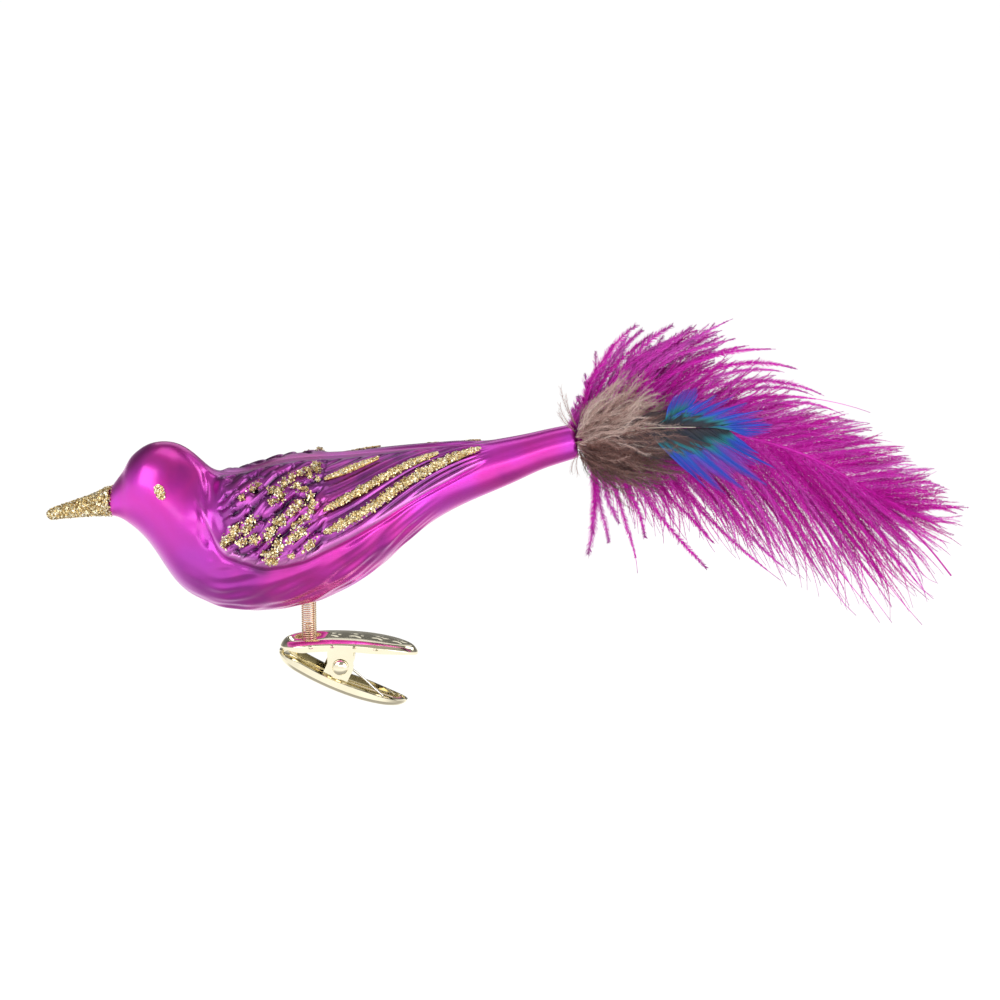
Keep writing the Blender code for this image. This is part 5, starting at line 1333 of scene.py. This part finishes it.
# ---- grey down round the foot of the accent feather -------------------------------------------
dn = Soup()
rng = np.random.default_rng(91)
for i in range(440):
    fan = rng.uniform(-1, 1)
    side_y = rng.uniform(-1, 1)
    layer = rng.uniform(0, 1)
    back = rng.uniform(0, 1)
    reach = (5.0 + 15.0 * rng.uniform(0, 1) * (1 - 0.4 * back)) * (1 - 0.30 * abs(fan) ** 1.5)
    ang0 = math.radians(74 if fan > 0 else 58) * fan + rng.normal(0, 0.34)
    ang1 = math.radians(34 if fan > 0 else 16) * fan + rng.normal(0, 0.26)
    root = np.array([56.9 + 9.0 * back ** 1.5 + 1.2 * abs(fan), -2.4 - 2.8 * layer + 1.4 * side_y, 42.2 + (4.6 if fan > 0 else 3.0) * fan])
    ctrl = root + np.array([0.42 * reach * math.cos(ang0), -2.4 - 1.2 * layer, 0.42 * reach * math.sin(ang0)])
    tip = ctrl + np.array([0.62 * reach * math.cos(ang1), 0.9 + 2.4 * side_y, 0.62 * reach * math.sin(ang1)])
    path = wander(bezier(root, ctrl, tip, 14), rng, 0.75)
    # partly painted light: upper strands are made lighter and lower strands darker, as if lit from above; the brown
    # ramp itself is the down's own colour
    painted_top_light = 0.44 + 0.46 * float(smoothstep(-0.2, 0.6, fan)) - 0.40 * float(smoothstep(0.0, 0.6, -fan))
    al0 = 0.0
    al1 = float(np.clip((tip[0] - 66.0) / 9.0, 0.02, 1.0))
    barb(dn, path, 0.07, 0.03, lambda u: 1.15 * (1 - 0.35 * u) * smoothstep(-0.05, 0.15, u), 0.25,
         float(np.clip(painted_top_light + rng.normal(0, 0.20), 0, 1)), rng, along0=al0, along1=al1, width=0.07, lean=0.75, flat=0.9)
for root, tip in (((57.2, -3.0, 45.5), (54.2, -4.5, 53.1)), ((57.0, -3.0, 44.5), (54.0, -5.0, 49.9)),
                  ((57.4, -3.0, 45.5), (55.2, -4.0, 51.6)), ((57.6, -3.0, 40.0), (56.4, -4.0, 36.6)),
                  ((57.8, -3.0, 40.0), (57.6, -4.0, 36.2)), ((57.2, -2.0, 44.0), (53.9, -3.0, 47.9))):
    p0, p2 = np.array(root), np.array(tip)
    path = bezier(p0, (p0 + p2) / 2 + np.array([-0.8, 0, -0.3]), p2, 12)
    barb(dn, path, 0.07, 0.03, lambda u: 1.1 * smoothstep(-0.1, 0.3, u), 0.25, 0.6, rng, along1=0.1, width=0.06, lean=0.5)
add_piece("grey_down_strands", dn.mesh("grey_down_strands"), grey, "bird", ["accent_down"])

# ---- accent feather ---------------------------------------------------------------------------
pale, nt, bsdf = new_material("pale_accent_quill", Roughness=0.35)
nt.links.new(ramp(nt, noise(nt, 300, 2).outputs["Fac"], [(0.3, (0.55, 0.45, 0.38)), (0.7, (0.78, 0.70, 0.62))]), bsdf.inputs["Base Color"])
accent_path = quill("accent_shaft", ACCENT_QUILL, 0.26, 0.3, pale, "accent_quill")
ac = Soup()
rng = np.random.default_rng(17)


def accent_barb(root, ctrl, tip, al0, al1, tone, width=0.28, fuzz=0.34):
    path = bezier(np.array(root, float), np.array(ctrl, float), np.array(tip, float), 18)
    barb(ac, path, width * 0.5, 0.06, lambda u: fuzz * (1.15 - 0.8 * u) + 0.10, 0.17, tone, rng, along0=al0, along1=al1,
         width=0.085, lean=0.35, flat=0.25)


def accent_fan(count, roots, tips, y_root, y_tip, al0, al1, lift, clump):
    rp, tp = np.array(roots, float), np.array(tips, float)
    ts_ = np.concatenate([[0], np.cumsum(np.linalg.norm(np.diff(tp, axis=0), axis=1))])
    ts_ /= ts_[-1]
    for i in range(count):
        v = (i + 0.5) / count
        vt = v + clump * math.sin(2 * math.pi * v * 6 + 0.2) / 44
        r = np.array([np.interp(v, np.linspace(0, 1, len(rp)), rp[:, k]) for k in (0, 1)])
        r[1] += 2.3 * float(smoothstep(60.0, 69.0, r[0]))
        t = np.array([np.interp(vt, ts_, tp[:, k]) for k in (0, 1)])
        t = r + (t - r) * (1.03 - abs(rng.normal(0, 0.04)) - 0.26 * clump * (0.5 + 0.5 * math.sin(2 * math.pi * v * 6 + 1.4)) ** 1.5)
        y = y_root + rng.normal(0, 0.08)
        yt = y_tip + rng.normal(0, 0.25)
        span = np.linalg.norm(t - r)
        mid = r + (t - r) * 0.5 + np.array([0.0, lift * span]) * (1 if t[1] > r[1] else -1)
        accent_barb((r[0], y, r[1]), (mid[0], (y + yt) / 2 - 0.5, mid[1]), (t[0], yt, t[1]), al0, al1,
                    float(np.clip(rng.beta(1.5, 2.5), 0, 1)))


# upper lobe, upper vane, tip tuft and lower vane, each as roots and tips in x, z
accent_fan(28, [(74.0, 44.0), (77.0, 44.6)], [(74.6, 50.4), (75.6, 52.2), (77.4, 53.4), (80.0, 54.0), (80.2, 52.4), (79.2, 50.8)], -7.6, -9.2, 0.28, 0.80, 0.05, 0.0)
accent_fan(60, [(72.0, 43.9), (78.0, 43.9), (84.0, 43.7)], [(79.6, 50.6), (82.5, 52.6), (87.6, 52.2), (91.6, 50.2), (94.0, 48.6), (91.2, 47.4)],
           -7.3, -8.8, 0.26, 0.98, 0.05, 1.0)
accent_fan(24, [(80.0, 43.7), (86.0, 43.6)], [(92.6, 47.3), (95.0, 46.6), (93.8, 45.2), (90.2, 44.2)], -7.1, -8.4, 0.36, 0.98, 0.0, 0.0)
accent_fan(52, [(64.0, 43.9), (74.0, 44.2)], [(71.0, 49.0), (74.5, 49.4), (78.0, 49.2), (82.0, 48.2)], -6.9, -8.0, 0.0, 0.20, 0.04, 0.0)
add_piece("accent_upper_barbs", ac.mesh("accent_upper_barbs"), blue, "bird", ["accent_upper_vane"])
ac = Soup()
accent_fan(84, [(86.0, 43.4), (80.0, 43.5), (74.0, 43.3), (70.5, 43.2)],
           [(90.6, 42.6), (95.4, 38.2), (93.5, 35.2), (90.8, 34.2), (87.5, 33.8), (85.0, 33.4), (82.2, 34.6), (80.0, 36.0)],
           -7.1, -8.6, 0.28, 0.98, 0.04, 1.0)
accent_fan(58, [(63.0, 43.3), (74.0, 43.4)], [(71.5, 40.0), (76.0, 40.0), (79.5, 41.0), (83.5, 42.8)], -6.9, -7.8, 0.0, 0.20, 0.04, 0.0)
add_piece("accent_lower_barbs", ac.mesh("accent_lower_barbs"), blue, "bird", ["accent_lower_vane"])

# ==== pieces that keep their CAD shape =========================================================
glue, nt, bsdf = new_material("cured_glue", Roughness=0.3, IOR=1.48)
nt.links.new(ramp(nt, noise(nt, 300, 3).outputs["Fac"], [(0.3, (0.62, 0.52, 0.36)), (0.7, (0.78, 0.72, 0.56))]), bsdf.inputs["Base Color"])
bump(nt, bsdf, noise(nt, 500, 2).outputs["Fac"], 0.2, 0.0002)
for name in ("belly_glue_plug", "tail_glue_plug"):
    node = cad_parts[name]
    node.data.materials.clear()
    node.data.materials.append(glue)

# ==== floor ====================================================================================
# painted light: the floor glows by emission, white away from the bird with a dark patch under it
floor_mat, nt, bsdf = new_material("pale_floor_painted_glow", Roughness=0.9, Specular_IOR_Level=0.1)
floor_glow_falloff = nd(nt, "ShaderNodeTexGradient", gradient_type="SPHERICAL")
place_ = nd(nt, "ShaderNodeMapping")
place_.vector_type = "TEXTURE"
place_.inputs["Location"].default_value = (0.04, -0.06, 0.0)
place_.inputs["Scale"].default_value = (0.75, 0.50, 1.0)
nt.links.new(coords(nt), place_.inputs["Vector"])
nt.links.new(place_.outputs[0], floor_glow_falloff.inputs[0])
# painted light: the glow's strength, dark near the bird and white further out
glow = ramp(nt, floor_glow_falloff.outputs["Fac"], [(0.0, (1.0, 1.0, 1.0)), (0.25, (0.95, 0.95, 0.95)), (0.7, (0.30, 0.29, 0.28)), (1.0, (0.22, 0.21, 0.20))], "EASE")
nt.links.new(glow, bsdf.inputs["Emission Color"])
nt.links.new(ramp(nt, noise(nt, 3, 2).outputs["Fac"], [(0.3, (0.27, 0.27, 0.27)), (0.7, (0.29, 0.29, 0.29))]), bsdf.inputs["Base Color"])
bsdf.inputs["Emission Strength"].default_value = 0.94
bm = bmesh.new()
bmesh.ops.create_circle(bm, cap_ends=True, segments=96, radius=30.0)
fm = bpy.data.meshes.new("floor")
bm.to_mesh(fm)
bm.free()
floor = bpy.data.objects.new("floor", fm)
floor.location = (0, 0, -0.26)
fm.materials.append(floor_mat)
scene.collection.objects.link(floor)
